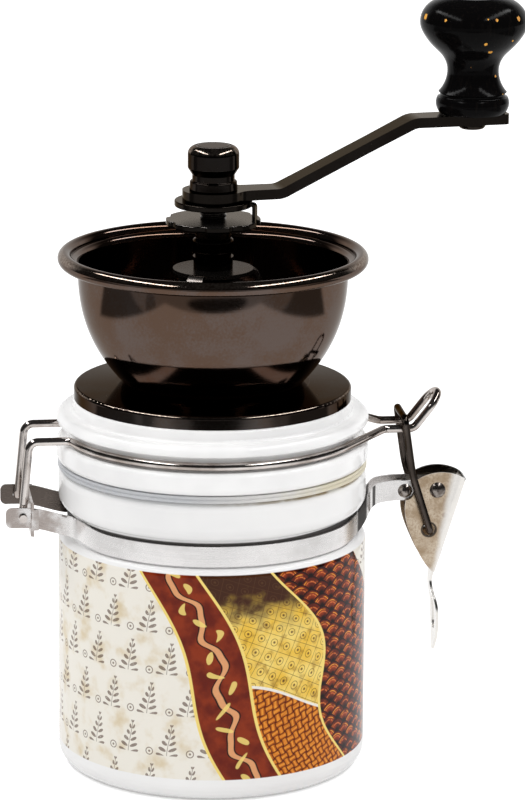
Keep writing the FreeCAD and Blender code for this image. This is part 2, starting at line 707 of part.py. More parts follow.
def edges_along(shape, direction, shortest):
    return [e for e in shape.Edges if e.Length > shortest
            and unit(e.Vertexes[-1].Point - e.Vertexes[0].Point).cross(direction).Length < 0.001]


def make_latch_lever():
    pivot = V(PIVOT_X, 0, PIVOT_Z)
    foot = pivot + on_xz(*LEVER_FOOT)
    top = pivot + on_xz(*LEVER_TOP)
    web = unit(top - foot)
    inward = V(-web.z, 0, web.x) * LEVER_SHEET
    height = (top - foot).Length
    body = slab(cheek_outline(), CHEEK)
    body = body.makeFillet(LEVER_EDGE_R, edges_along(body, web, height / 2))
    low = foot + inward
    high = low + web * (height * 1.5)
    room = outline([(low.x, low.z), (high.x, high.z), (low.x - height, high.z),
                    (low.x - height, low.z)], on_xz)
    hollow = slab(room, CHEEK_INSIDE)
    corners = [e for e in edges_along(hollow, web, height / 2) if e.CenterOfMass.x > low.x]
    body = body.cut(hollow.makeFillet(LEVER_EDGE_R - LEVER_SHEET, corners))
    start = foot + web * (height / 4)
    line = [(foot.x, foot.z)] + [(foot.x + x, foot.z + z) for x, z in TAIL_LINE]
    down = (-web.x, -web.z)
    outer = curve(line, on_xz, down, (-0.1, -1))
    inner_line = [(low.x, low.z)] + [(x - LEVER_SHEET, z) for x, z in line[1:]]
    inner = curve(inner_line, on_xz, down, (-0.1, -1))
    runs = [Part.LineSegment(start, foot), outer, Part.LineSegment(outer.EndPoint, inner.EndPoint), inner,
            Part.LineSegment(low, start + inward), Part.LineSegment(start + inward, start)]
    sheet = slab(Part.Face(Part.Wire(Part.__sortEdges__([r.toShape() for r in runs]))), TAIL_WIDTH)
    neck = TAIL_NECK / 2
    flare = TAIL_WIDTH / 2 - neck
    flank = [(neck + share * flare, foot.z + z) for share, z in TAIL_FLANK]
    flank = [(TAIL_ROOT, start.z)] + flank + [(TAIL_TIP, line[-1][1])]
    right = curve(flank, on_yz)
    left = curve([(-y, z) for y, z in flank], on_yz)
    ends = [Part.LineSegment(right.StartPoint, left.StartPoint).toShape(),
            Part.LineSegment(right.EndPoint, left.EndPoint).toShape()]
    leaf = Part.Face(Part.Wire(Part.__sortEdges__([right.toShape(), left.toShape()] + ends)))
    tail = sheet.common(leaf.extrude(V(FAR, 0, 0)))
    slot_r = TAIL_SLOT_WIDTH / 2
    corner = slot_r * 0.99
    slot_high = foot.z - TAIL_SLOT_TOP
    slot_low = slot_high - TAIL_SLOT_LENGTH
    slot = outline([(-slot_r, slot_low, corner), (slot_r, slot_low, corner),
                    (slot_r, slot_high, corner), (-slot_r, slot_high, corner)], on_yz)
    tail = tail.cut(slot.extrude(V(FAR, 0, 0)))
    pivot_hole = rod_y(PIVOT_SHANK_R + RUN, PIVOT_X, PIVOT_Z, -FAR / 2, FAR / 2)
    hook_hole = rod_y(HOOK_HOLE_R, HOOK_X, HOOK_Z, -FAR / 2, FAR / 2)
    return joined([body, tail]).cut([pivot_hole, hook_hole])


# Link: one wire hooked into the cheeks, its bar lies over the elbow of the bail's tongue
def make_latch_link():
    y = LINK_LEG_Y
    half = [(V(HOOK_X, -HOOK_END, HOOK_Z), 0), (V(HOOK_X, -y, HOOK_Z), HOOK_BEND),
            (V(LINK_KNEE_X, -y, LINK_KNEE_Z), LINK_KNEE_BEND), (V(BAR_X, -y, BAR_Z), BAR_BEND)]
    other = [(V(p.x, -p.y, p.z), r) for p, r in reversed(half)]
    return wire_along(bent_path(half + other), LINK_WIRE / 2)


def make_cover_plate():
    top = COVER_TOP
    sheet = COVER_SHEET
    edge = top - COVER_DOME
    plate = turned([
        (COVER_R - sheet, LID_TOP), (COVER_R, LID_TOP), (COVER_R, edge, COVER_EDGE_R),
        (COVER_FLAT_R, top, 4.0), (CHUTE_R, top), (CHUTE_R, top - sheet),
        (COVER_FLAT_R, top - sheet, 4.0), (COVER_R - sheet, edge - sheet, 0.3)])
    return plate.cut(screw_holes(SCREW_SHANK_R + FIT, LID_TOP, top + 1))


# Spun bowl of even sheet with a rolled rim
def make_hopper_bowl():
    bead_x = RIM_OUTER_R - RIM_BEAD_R
    bead_z = RIM_TOP - RIM_BEAD_R
    curl = RIM_BEAD_R - BOWL_SHEET
    wall = [(r, BOWL_LOW + h) for r, h in BOWL_PROFILE] + [(bead_x - curl, bead_z)]
    outer = curve(wall, on_xz, (0.4, 1), (0, 1))
    inner_points = []
    for r, z in wall[1:-1]:
        spot = outer.parameter(on_xz(r, z))
        along = unit(V(*outer.tangent(spot)[0]))
        inner_points.append((r - along.z * BOWL_SHEET, z + along.x * BOWL_SHEET))
    foot = (BOWL_PROFILE[0][0] - BOWL_SHEET * 0.6, BOWL_FLOOR)
    inner = curve([foot] + inner_points + [(bead_x - RIM_BEAD_R, bead_z)], on_xz, (1, 1), (0, 1))

    def bead(radius, angle):
        u, v = polar(radius, angle)
        return on_xz(bead_x + u, bead_z + v)

    middle = (180 + RIM_CURL_END) / 2
    edges = [outer.toShape(),
             Part.Arc(bead(curl, 180), bead(curl, middle), bead(curl, RIM_CURL_END)).toShape(),
             Part.LineSegment(bead(curl, RIM_CURL_END), bead(RIM_BEAD_R, RIM_CURL_END)).toShape(),
             Part.Arc(bead(RIM_BEAD_R, RIM_CURL_END), bead(RIM_BEAD_R, middle),
                      bead(RIM_BEAD_R, 180)).toShape(),
             inner.toShape()]
    base = [inner.StartPoint, on_xz(CHUTE_R, BOWL_FLOOR), on_xz(CHUTE_R, BOWL_LOW), outer.StartPoint]
    for a, b in zip(base, base[1:]):
        edges.append(Part.LineSegment(a, b).toShape())
    bowl = turned_face(Part.__sortEdges__(edges))
    return bowl.cut(screw_holes(SCREW_SHANK_R + FIT, BOWL_LOW - 1, BOWL_FLOOR + 1))


def screw_holes(radius, low, high):
    return around(disc(radius, low, high, BRIDGE_FOOT_R), SCREW_COUNT)


# Bridge: a round plate on strap legs whose feet lie on the bowl floor under the screws
def make_bearing_bridge():
    sheet = BRIDGE_SHEET
    low = BOWL_FLOOR
    knee = BRIDGE_R + 2.2
    bend = BRIDGE_LEG_BEND
    turn = BRIDGE_ANKLE_BEND
    ankle = BRIDGE_FOOT_R - SCREW_HEAD_R - FREE - turn - sheet
    strap = outline([
        (BRIDGE_R - 3, BRIDGE_TOP), (knee, BRIDGE_TOP, bend + sheet), (ankle + sheet, low + sheet, turn),
        (BRIDGE_FOOT_END, low + sheet), (BRIDGE_FOOT_END, low), (ankle, low, turn + sheet),
        (knee - sheet, BRIDGE_TOP - sheet, bend), (BRIDGE_R - 3, BRIDGE_TOP - sheet)], on_xz)
    legs = around(slab(strap, BRIDGE_LEG_WIDTH / 2), BRIDGE_LEGS)
    pads = around(disc(BRIDGE_FOOT_END - BRIDGE_FOOT_R, low, low + sheet, BRIDGE_FOOT_R), BRIDGE_LEGS)
    plate = disc(BRIDGE_R, BRIDGE_TOP - sheet, BRIDGE_TOP)
    holes = screw_holes(SCREW_SHANK_R + FIT, low - 1, low + sheet + 1)
    return joined([plate] + legs + pads).cut(holes + [disc(BUSH_R, BUSH_LOW, BRIDGE_TOP + 1)])


def make_upper_bush():
    bore = BUSH_BORE_R
    return turned([
        (bore, BUSH_LOW), (BUSH_R, BUSH_LOW, 0.4), (BUSH_R, BUSH_COLLAR_LOW),
        (BUSH_BEAD_R, BUSH_COLLAR_LOW), (BUSH_BEAD_R, BUSH_COLLAR_TOP), (BUSH_NECK_R, BUSH_COLLAR_TOP),
        (BUSH_NECK_R, BUSH_BEAD_LOW), (BUSH_BEAD_R, BUSH_BEAD_LOW, 0.5), (BUSH_BEAD_R, BUSH_TOP, 0.9),
        (bore, BUSH_TOP)])


# Housing: a chute sleeve with screw bosses above, the seat of the outer burr and a skirt below
def make_burr_housing():
    top = COVER_TOP - COVER_SHEET
    sleeve_r = CHUTE_R + HOUSING_WALL
    body = turned([
        (CHUTE_R, top), (sleeve_r, top, 0.4), (sleeve_r, RECESS_Z), (HOUSING_R, RECESS_Z),
        (HOUSING_R, HOUSING_LOW, 0.8), (OUTER_BURR_R, HOUSING_LOW), (OUTER_BURR_R, BURR_SEAT_Z),
        (CHUTE_R, BURR_SEAT_Z)])
    bosses = around(disc(HOUSING_BOSS_R, RECESS_Z, top, BRIDGE_FOOT_R), SCREW_COUNT)
    return joined([body] + bosses).cut(screw_holes(SCREW_SHANK_R, SCREW_END_Z - 1, top + 1))


# Ring nut on the housing: it clamps the lid ring from below
def make_clamp_ring():
    low = RECESS_Z - CLAMP_T
    ring = turned([
        (HOUSING_R, RECESS_Z), (CLAMP_R, RECESS_Z, 0.4), (CLAMP_R, low, 1.0), (HOUSING_R, low)])
    notch = disc(CLAMP_NOTCH_R, low - 1, RECESS_Z + 1, CLAMP_R + CLAMP_NOTCH_R - CLAMP_NOTCH_DEPTH)
    return ring.cut(around(notch, CLAMP_NOTCHES))


# A star of straight flanks, used for the cutting edges of both burrs
def star(radius, depth, height, turn):
    spots = []
    for i in range(2 * BURR_TEETH):
        angle = turn + 180.0 * i / BURR_TEETH
        reach = radius if i % 2 == 0 else radius - depth
        spots.append(V(*polar(reach, angle), height))
    return Part.makePolygon(spots + [spots[0]])


def toothed_cone(levels, twist):
    bottom = levels[0][1]
    span = levels[-1][1] - bottom
    wires = [star(r, d, z, twist * (z - bottom) / span) for r, z, d in levels]
    return Part.makeLoft(wires, True, True)


def make_outer_burr():
    low = OUTER_BURR_LOW
    blank = disc(OUTER_BURR_R, low, BURR_SEAT_Z)
    gap = BURR_GAP
    waist = INNER_BURR_LOW + INNER_BURR_WAIST
    bore = toothed_cone([
        (INNER_BURR_BASE_R + gap + BURR_TOOTH * 0.5, low - 1, BURR_TOOTH * 0.5),
        (INNER_BURR_WAIST_R + gap + BURR_TOOTH * 1.5, waist, BURR_TOOTH * 0.8),
        (CHUTE_R - BURR_LIP, BURR_SEAT_Z + 1, BURR_TOOTH)], -BURR_TWIST)
    return blank.cut(bore)


def make_inner_burr():
    waist = INNER_BURR_LOW + INNER_BURR_WAIST
    cone = toothed_cone([
        (INNER_BURR_BASE_R, INNER_BURR_LOW, BURR_TOOTH * 0.6),
        (INNER_BURR_WAIST_R, waist, BURR_TOOTH),
        (INNER_BURR_TOP_R, INNER_BURR_TOP, BURR_TOOTH)], BURR_TWIST)
    return cone.cut(disc(SPINDLE_R, INNER_BURR_LOW - 1, INNER_BURR_TOP + 1))


# Lower bearing: a spoked ring pressed into the housing below the outer burr
def make_lower_bracket():
    low = HOUSING_LOW + BRACKET_LIFT
    top = OUTER_BURR_LOW
    ring = disc(OUTER_BURR_R, low, top).cut(disc(OUTER_BURR_R - BRACKET_RING_WALL, low - 1, top + 1))
    spoke = Part.makeBox(OUTER_BURR_R - BRACKET_RING_WALL / 2, BRACKET_SPOKE_WIDTH, BRACKET_T,
                         V(0, -BRACKET_SPOKE_WIDTH / 2, low))
    spokes = around(spoke, BRACKET_SPOKES, 180 / BRACKET_SPOKES)
    hub = disc(BRACKET_HUB_R, low, low + BRACKET_HUB_HEIGHT)
    return joined([ring, hub] + spokes).cut(disc(SPINDLE_R + RUN, low - 3, top + 1))


def make_housing_screws():
    head = BOWL_FLOOR + BRIDGE_SHEET
    top = head + SCREW_HEAD_T
    screw = turned([
        (0, SCREW_END_Z), (SCREW_SHANK_R, SCREW_END_Z, 0.5), (SCREW_SHANK_R, head), (SCREW_HEAD_R, head),
        (SCREW_HEAD_R, top, 1.6), (0, top)])
    slot = Part.makeBox(2 * SCREW_HEAD_R, SCREW_SLOT_WIDTH, SCREW_HEAD_T,
                        V(-SCREW_HEAD_R, -SCREW_SLOT_WIDTH / 2, top - SCREW_SLOT_DEPTH))
    screw = screw.cut(slot)
    screw.translate(V(BRIDGE_FOOT_R, 0, 0))
    return Part.makeCompound(around(screw, SCREW_COUNT))


def make_spindle():
    rod = turned([
        (0, SPINDLE_LOW), (SPINDLE_R, SPINDLE_LOW, 0.5), (SPINDLE_R, THREAD_LOW),
        (THREAD_R, THREAD_LOW + THREAD_R - SPINDLE_R), (THREAD_R, CAP_THREAD_TOP), (0, CAP_THREAD_TOP)])
    return rod.cut(rod_y(PIN_R, 0, SPRING_PIN_Z, -PIN_LENGTH, PIN_LENGTH))


# A hexagonal prism whose flats lie at the given distance from its axis
def hexagon(flat, low, high):
    corner = flat / math.cos(math.radians(30))
    spots = [V(*polar(corner, 60 * i), low) for i in range(6)]
    return Part.Face(Part.makePolygon(spots + [spots[0]])).extrude(V(0, 0, high - low))


def make_burr_nut():
    low = INNER_BURR_LOW - BURR_NUT_T
    return hexagon(BURR_NUT_FLAT, low, INNER_BURR_LOW).cut(disc(SPINDLE_R, low - 1, INNER_BURR_LOW + 1))


# The least gap of a coil of wire to itself, measured between points at least half a turn apart
def least_gap(arcs, wire):
    each = 8
    spots = [spot for arc in arcs for spot in arc.discretize(each)]
    half_turn = 4 * each
    return min((a - b).Length for i, a in enumerate(spots) for b in spots[i + half_turn:]) - wire


# A closed-end coil as quarter turns, each made of two arcs that share their tangents
def make_spring():
    step = math.radians(90)
    climb = SPRING_PITCH / (2 * math.pi)
    spots = []
    for i in range(4 * SPRING_TURNS + 1):
        angle = step * i
        spot = V(SPRING_R * math.cos(angle), SPRING_R * math.sin(angle), SPRING_LOW + climb * angle)
        heading = unit(V(-SPRING_R * math.sin(angle), SPRING_R * math.cos(angle), climb))
        spots.append((spot, heading))
    edges = []
    for (a, at), (b, bt) in zip(spots, spots[1:]):
        span = b - a
        square = 2 * (1 - at.dot(bt))
        linear = 2 * span.dot(at + bt)
        reach = (-linear + math.sqrt(linear ** 2 + 4 * square * span.dot(span))) / (2 * square)
        middle = (a + b) * 0.5 + (at - bt) * (reach / 2)
        edges.append(arc_leaving(a, at, middle))
        edges.append(arc_leaving(b, bt * -1, middle))
    print("spring least gap to itself %.2f mm" % least_gap(edges, SPRING_WIRE))
    return wire_along(Part.__sortEdges__(edges), SPRING_WIRE / 2)


def make_spring_seat():
    low = SEAT_TOP - SEAT_T
    return disc(SEAT_R, low, SEAT_TOP).cut(disc(THREAD_R, low - 1, SEAT_TOP + 1))


def make_spring_pin():
    return rod_y(PIN_R, 0, SPRING_PIN_Z, -PIN_LENGTH / 2, PIN_LENGTH / 2)


def make_adjusting_nut():
    plate = disc(NUT_R, NUT_TOP - NUT_T, NUT_TOP)
    notch = disc(NUT_NOTCH_R, NUT_TOP - NUT_T - 1, NUT_TOP + 1, NUT_R + NUT_NOTCH_R - NUT_NOTCH_DEPTH)
    plate = plate.cut(around(notch, NUT_LOBES, TAB_ANGLE))
    edges = [e for e in plate.Edges if e.Length > 0.5 and abs(e.BoundBox.ZLength) < 0.01]
    plate = plate.makeFillet(0.35, edges)
    tab_hole = Part.makeBox(TAB_T + 2 + NUT_R, TAB_WIDTH + 4 * FIT, NUT_T * 3,
                            V(TAB_REACH - TAB_T - 2 * FIT, -TAB_WIDTH / 2 - 2 * FIT, NUT_TOP - 2 * NUT_T))
    tab_hole.rotate(V(0, 0, 0), UP, TAB_ANGLE)
    hub = disc(NUT_HUB_R, NUT_HUB_LOW, NUT_TOP)
    return joined([plate.cut(tab_hole), hub]).cut(disc(THREAD_R, NUT_HUB_LOW - 1, NUT_TOP + 1))


def make_stopper():
    plate = disc(STOPPER_R, STOPPER_LOW, STOPPER_TOP)
    edges = [e for e in plate.Edges if abs(e.BoundBox.ZLength) < 0.01]
    plate = plate.makeFillet(0.4, edges)
    inner = TAB_REACH - TAB_T
    root = STOPPER_R - TAB_WIDTH
    high = STOPPER_TOP - TAB_SINK
    strap = outline([
        (root, high), (TAB_REACH, high, TAB_BEND), (TAB_REACH, TAB_LOW, 0.3), (inner, TAB_LOW, 0.3),
        (inner, high - TAB_T, TAB_BEND - TAB_T), (root, high - TAB_T)], on_xz)
    tab = slab(strap, TAB_WIDTH / 2)
    tab.rotate(V(0, 0, 0), UP, TAB_ANGLE)
    return joined([plate, tab]).cut(disc(THREAD_R, STOPPER_LOW - 1, STOPPER_TOP + 1))


# Crank arm: flat bar with a round eye, cranked upwards and square at the knob end
def make_crank_arm():
    near = ARM_NEAR_WIDTH / 2
    mid = ARM_MID_WIDTH / 2
    end = ARM_END_WIDTH / 2
    blend_x = math.sqrt((ARM_HUB_R + ARM_HUB_BLEND) ** 2 - (near + ARM_HUB_BLEND) ** 2)
    touch = unit(V(blend_x, near + ARM_HUB_BLEND, 0)) * ARM_HUB_R
    upper = [V(blend_x, near, 0), V(ARM_BEND_NEAR + 8, mid + 0.2, 0), V(ARM_BEND_FAR - 14, mid, 0),
             V(ARM_BEND_FAR + 5, end, 0), V(ARM_END, end, 0)]
    lower = [V(p.x, -p.y, 0) for p in reversed(upper)]
    corners = [(p, r) for p, r in zip(upper, (0, 25, 60, 25, ARM_CORNER))]
    corners += [(p, r) for p, r in zip(lower, (ARM_CORNER, 25, 60, 25, 0))]
    side = bent_path(corners)
    side.append(arc_leaving(corners[-1][0], V(-1, 0, 0), V(touch.x, -touch.y, 0)))
    side.append(Part.Arc(V(touch.x, -touch.y, 0), V(-ARM_HUB_R, 0, 0), touch).toShape())
    side.append(arc_leaving(corners[0][0], V(-1, 0, 0), touch))
    plan = Part.Face(Part.Wire(Part.__sortEdges__(side))).extrude(V(0, 0, FAR * 2))
    bend = ARM_BEND_R
    reach = ARM_END + 5
    shift = ARM_T * math.tan(math.atan2(ARM_RISE, ARM_BEND_FAR - ARM_BEND_NEAR) / 2)
    zone = outline([
        (-reach, ARM_LOW), (ARM_BEND_NEAR + shift, ARM_LOW, bend + ARM_T),
        (ARM_BEND_FAR + shift, ARM_LOW + ARM_RISE, bend), (reach, ARM_LOW + ARM_RISE),
        (reach, ARM_END_TOP), (ARM_BEND_FAR, ARM_END_TOP, bend + ARM_T),
        (ARM_BEND_NEAR, ARM_TOP, bend), (-reach, ARM_TOP)], on_xz)
    arm = plan.common(slab(zone, FAR / 2))
    spindle_hole = disc(THREAD_R, ARM_LOW - 1, ARM_TOP + 1)
    pin_hole = disc(KNOB_PIN_R, ARM_LOW, ARM_END_TOP + 1, KNOB_X)
    return crank_side(arm.cut([spindle_hole, pin_hole]))


def make_cap_nut():
    low = ARM_TOP
    top = low + CAP_HEIGHT
    return turned([
        (THREAD_R, low), (CAP_COLLAR_R + CAP_COLLAR_TAPER, low, 0.3),
        (CAP_COLLAR_R - CAP_COLLAR_TAPER, low + CAP_COLLAR_T, 0.4),
        (CAP_NECK_R, low + CAP_COLLAR_T, 0.2), (CAP_NECK_R, low + CAP_NECK_TOP),
        (CAP_R, low + CAP_CHAMFER_TOP, 0.5), (CAP_R, top, CAP_CROWN_R), (0, top), (0, CAP_THREAD_TOP),
        (THREAD_R, CAP_THREAD_TOP)])


def knob_spot(point):
    return point[0], KNOB_LOW + point[1]


# Knob: turned wood with a beaded foot, a slim waist and a mushroom head that hides the pin
def make_knob():
    foot = [knob_spot(p) for p in KNOB_FOOT]
    waist = [knob_spot(p) for p in KNOB_WAIST]
    head = [knob_spot(p) for p in KNOB_PROFILE]
    groove = (waist[0][0] - KNOB_GROOVE_DEPTH, (foot[-1][1] + waist[0][1]) / 2)
    top = head[-1][1]
    floor = top - KNOB_POCKET_DEPTH
    body = curve(waist[:-1] + head, on_xz)
    bore = KNOB_PIN_R + FIT
    rest = [head[-1], (KNOB_POCKET_R, top), (KNOB_POCKET_R, floor), (bore, floor), (bore, KNOB_LOW), foot[0]]
    edges = [curve(foot, on_xz).toShape(),
             Part.Arc(on_xz(*foot[-1]), on_xz(*groove), on_xz(*waist[0])).toShape(), body.toShape()]
    for a, b in zip(rest, rest[1:]):
        edges.append(Part.LineSegment(on_xz(*a), on_xz(*b)).toShape())
    knob = turned_face(Part.__sortEdges__(edges))
    knob.translate(V(KNOB_X, 0, 0))
    return crank_side(knob)


# Knob pin: riveted through the arm, its head holds the knob from above
def make_knob_pin():
    low = ARM_LOW + ARM_RISE
    floor = KNOB_LOW + KNOB_PROFILE[-1][1] - KNOB_POCKET_DEPTH
    head = floor + FREE
    pin = turned([
        (0, low - KNOB_RIVET_T), (KNOB_RIVET_R, low - KNOB_RIVET_T, 1.2), (KNOB_RIVET_R, low),
        (KNOB_PIN_R, low), (KNOB_PIN_R, head), (KNOB_HEAD_R, head), (KNOB_HEAD_R, head + KNOB_HEAD_T, 1.4),
        (0, head + KNOB_HEAD_T)])
    pin.translate(V(KNOB_X, 0, 0))
    return crank_side(pin)


os.makedirs("parts", exist_ok=True)
band_front = make_band_front()
pieces = {
    "jar": make_jar(),
    "band_front": band_front,
    "band_rear": band_front.mirror(V(0, 0, 0), V(0, 1, 0)),
    "hinge_tie": make_hinge_tie(),
    "spacer_rivet": make_spacer_rivet(),
    "lever_rivet": make_lever_rivet(),
    "lid_ring": make_lid_ring(),
    "gasket": make_gasket(),
    "bail_wire": make_bail_wire(),
    "latch_lever": make_latch_lever(),
    "latch_link": make_latch_link(),
    "cover_plate": make_cover_plate(),
    "hopper_bowl": make_hopper_bowl(),
    "bearing_bridge": make_bearing_bridge(),
    "upper_bush": make_upper_bush(),
    "burr_housing": make_burr_housing(),
    "clamp_ring": make_clamp_ring(),
    "outer_burr": make_outer_burr(),
    "lower_bracket": make_lower_bracket(),
    "housing_screws": make_housing_screws(),
    "spindle": make_spindle(),
    "inner_burr": make_inner_burr(),
    "burr_nut": make_burr_nut(),
    "spring": make_spring(),
    "spring_seat": make_spring_seat(),
    "spring_pin": make_spring_pin(),
    "adjusting_nut": make_adjusting_nut(),
    "stopper": make_stopper(),
    "crank_arm": make_crank_arm(),
    "cap_nut": make_cap_nut(),
    "knob": make_knob(),
    "knob_pin": make_knob_pin(),
}
for name, shape in pieces.items():
    solids = len(shape.Solids)
    print("%-16s %d solid %9.1f mm3 valid %s" % (name, solids, shape.Volume, shape.isValid()))
    shape.exportStep("parts/%s.step" % name)
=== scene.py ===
import math

import bpy
import numpy as np
from mathutils import Matrix, Vector


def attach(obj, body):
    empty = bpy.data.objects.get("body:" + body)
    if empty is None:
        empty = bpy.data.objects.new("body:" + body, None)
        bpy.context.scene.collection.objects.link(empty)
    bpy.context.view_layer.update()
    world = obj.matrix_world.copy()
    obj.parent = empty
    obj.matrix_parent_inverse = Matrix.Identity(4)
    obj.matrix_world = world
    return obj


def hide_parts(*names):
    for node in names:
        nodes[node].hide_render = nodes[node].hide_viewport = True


# Hand cranked coffee mill on a ceramic jar: finishes, fine shapes, light and camera.
# The scene is in metres. Sizes in the dictionaries and places in the materials are millimetres.

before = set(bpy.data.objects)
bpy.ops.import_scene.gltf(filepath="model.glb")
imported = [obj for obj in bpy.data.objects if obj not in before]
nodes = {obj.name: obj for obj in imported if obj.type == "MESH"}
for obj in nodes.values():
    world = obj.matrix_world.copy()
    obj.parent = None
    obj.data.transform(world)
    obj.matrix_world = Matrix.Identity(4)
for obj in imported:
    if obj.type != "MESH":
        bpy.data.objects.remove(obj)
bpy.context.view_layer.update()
mm = 0.001


def report(stage):
    print("stage:", stage)


# A number, colour or place that flows between shader nodes and takes ordinary arithmetic
class Flow:
    def __init__(self, tree, socket):
        self.tree = tree
        self.socket = socket

    def math(self, operation, *others):
        node = self.tree.nodes.new("ShaderNodeMath")
        node.operation = operation
        for place, value in enumerate((self,) + others):
            feed(value, node.inputs[place])
        return Flow(self.tree, node.outputs[0])

    def __add__(self, other):
        return self.math("ADD", other)

    def __sub__(self, other):
        return self.math("SUBTRACT", other)

    def __rsub__(self, other):
        return self.math("MULTIPLY", -1.0) + other

    def __mul__(self, other):
        return self.math("MULTIPLY", other)

    def __truediv__(self, other):
        return self.math("DIVIDE", other)

    def __pow__(self, other):
        return self.math("POWER", other)

    def sin(self):
        return self.math("SINE")

    def cos(self):
        return self.math("COSINE")

    def abs(self):
        return self.math("ABSOLUTE")

    def root(self):
        return self.math("SQRT")

    def atLeast(self, other):
        return self.math("MAXIMUM", other)

    def stepNumber(self, step):
        return (self / step).math("FLOOR")

    # The remainder after whole steps, from minus half a step to half a step
    def repeated(self, step):
        return self.math("FLOORED_MODULO", step) - step / 2

    # 0 up to low, 1 from high on and smooth between; low above high turns it round
    def rise(self, low, high):
        node = self.tree.nodes.new("ShaderNodeMapRange")
        node.interpolation_type = "SMOOTHSTEP"
        feed(self, node.inputs["Value"])
        feed(low, node.inputs["From Min"])
        feed(high, node.inputs["From Max"])
        return Flow(self.tree, node.outputs["Result"])

    # 1 near zero and 0 beyond the half width
    def line(self, halfWidth, soft=0.12):
        return self.abs().rise(halfWidth + soft, halfWidth - soft)


def feed(value, socket):
    if isinstance(value, Flow):
        value.tree.links.new(value.socket, socket)
    elif isinstance(value, tuple) and socket.type == "RGBA":
        socket.default_value = value + (1.0,)
    else:
        socket.default_value = value


# One material. Its point, x, y and z are object coordinates in millimetres
class Paint:
    def __init__(self, name):
        self.material = bpy.data.materials.new(name)
        self.material.use_nodes = True
        self.tree = self.material.node_tree
        self.surface = self.tree.nodes["Principled BSDF"]
        where = self.tree.nodes.new("ShaderNodeTexCoord")
        scaled = self.tree.nodes.new("ShaderNodeVectorMath")
        scaled.operation = "SCALE"
        scaled.inputs["Scale"].default_value = 1 / mm
        self.tree.links.new(where.outputs["Object"], scaled.inputs[0])
        self.point = Flow(self.tree, scaled.outputs[0])
        self.x, self.y, self.z = self.split(self.point)
        self.lastBump = None

    def split(self, vector):
        node = self.tree.nodes.new("ShaderNodeSeparateXYZ")
        feed(vector, node.inputs[0])
        return [Flow(self.tree, node.outputs[i]) for i in range(3)]

    def vector(self, x, y, z=0.0):
        node = self.tree.nodes.new("ShaderNodeCombineXYZ")
        for value, socket in zip((x, y, z), node.inputs):
            feed(value, socket)
        return Flow(self.tree, node.outputs[0])

    def distance(self, a, b):
        node = self.tree.nodes.new("ShaderNodeVectorMath")
        node.operation = "DISTANCE"
        feed(a, node.inputs[0])
        feed(b, node.inputs[1])
        return Flow(self.tree, node.outputs["Value"])

    def length(self, x, y):
        return (x * x + y * y).root()

    # Soft cloud values about 0.5, with features about as large as size
    def noise(self, size, detail=2.0, vector=None):
        node = self.tree.nodes.new("ShaderNodeTexNoise")
        feed(vector or self.point, node.inputs["Vector"])
        node.inputs["Scale"].default_value = 1 / size
        node.inputs["Detail"].default_value = detail
        return Flow(self.tree, node.outputs[0])

    # 1 in small dots that lie about spacing apart, and 0 elsewhere
    def dots(self, spacing, halfWidth):
        node = self.tree.nodes.new("ShaderNodeTexVoronoi")
        feed(self.point, node.inputs["Vector"])
        node.inputs["Scale"].default_value = 1 / spacing
        share = halfWidth / spacing
        return Flow(self.tree, node.outputs["Distance"]).rise(share * 1.2, share * 0.8)

    # 1 in a blot with an uneven edge about a named place
    def blot(self, place, halfWidth):
        wobble = self.noise(halfWidth * 0.9, 2.0) * halfWidth * 1.2 - halfWidth * 0.6
        return (self.distance(self.point, place) + wobble).rise(halfWidth * 1.15, halfWidth * 0.85)

    def mix(self, share, a, b):
        node = self.tree.nodes.new("ShaderNodeMix")
        node.data_type = "RGBA"
        feed(share, node.inputs[0])
        feed(a, node.inputs[6])
        feed(b, node.inputs[7])
        return Flow(self.tree, node.outputs[2])

    def blend(self, share, a, b):
        node = self.tree.nodes.new("ShaderNodeMix")
        feed(share, node.inputs[0])
        feed(a, node.inputs[2])
        feed(b, node.inputs[3])
        return Flow(self.tree, node.outputs[0])

    def set(self, name, value):
        feed(value, self.surface.inputs[name])

    # Raises the surface by height times depth, or sinks it where depth is below zero
    def bump(self, height, depth):
        node = self.tree.nodes.new("ShaderNodeBump")
        node.invert = depth < 0
        node.inputs["Distance"].default_value = abs(depth) * mm
        feed(height, node.inputs["Height"])
        if self.lastBump:
            self.tree.links.new(self.lastBump.outputs[0], node.inputs["Normal"])
        self.lastBump = node
        self.tree.links.new(node.outputs[0], self.surface.inputs["Normal"])


def finish(paint, *names):
    for name in names:
        for slot in nodes[name].material_slots:
            slot.material = paint.material


# A mesh from a grid of points: rows run along the profile, columns round the axis
def gridPiece(name, x, y, z, body, paint):
    rows, columns = x.shape
    row = np.arange(rows)[:, None]
    column = np.arange(columns)[None, :]
    nextRow = (row + 1) % rows
    nextColumn = (column + 1) % columns
    faces = np.stack([row * columns + column, row * columns + nextColumn,
                      nextRow * columns + nextColumn, nextRow * columns + column], axis=-1).reshape(-1, 4)
    points = np.stack([x, y, z], axis=-1).reshape(-1, 3) * mm
    mesh = bpy.data.meshes.new(name)
    mesh.from_pydata(points.tolist(), [], faces.tolist())
    mesh.materials.append(paint.material)
    mesh.shade_smooth()
    mesh.set_sharp_from_angle(angle=math.radians(40))
    piece = bpy.data.objects.new(name, mesh)
    bpy.context.scene.collection.objects.link(piece)
    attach(piece, body)
    return piece


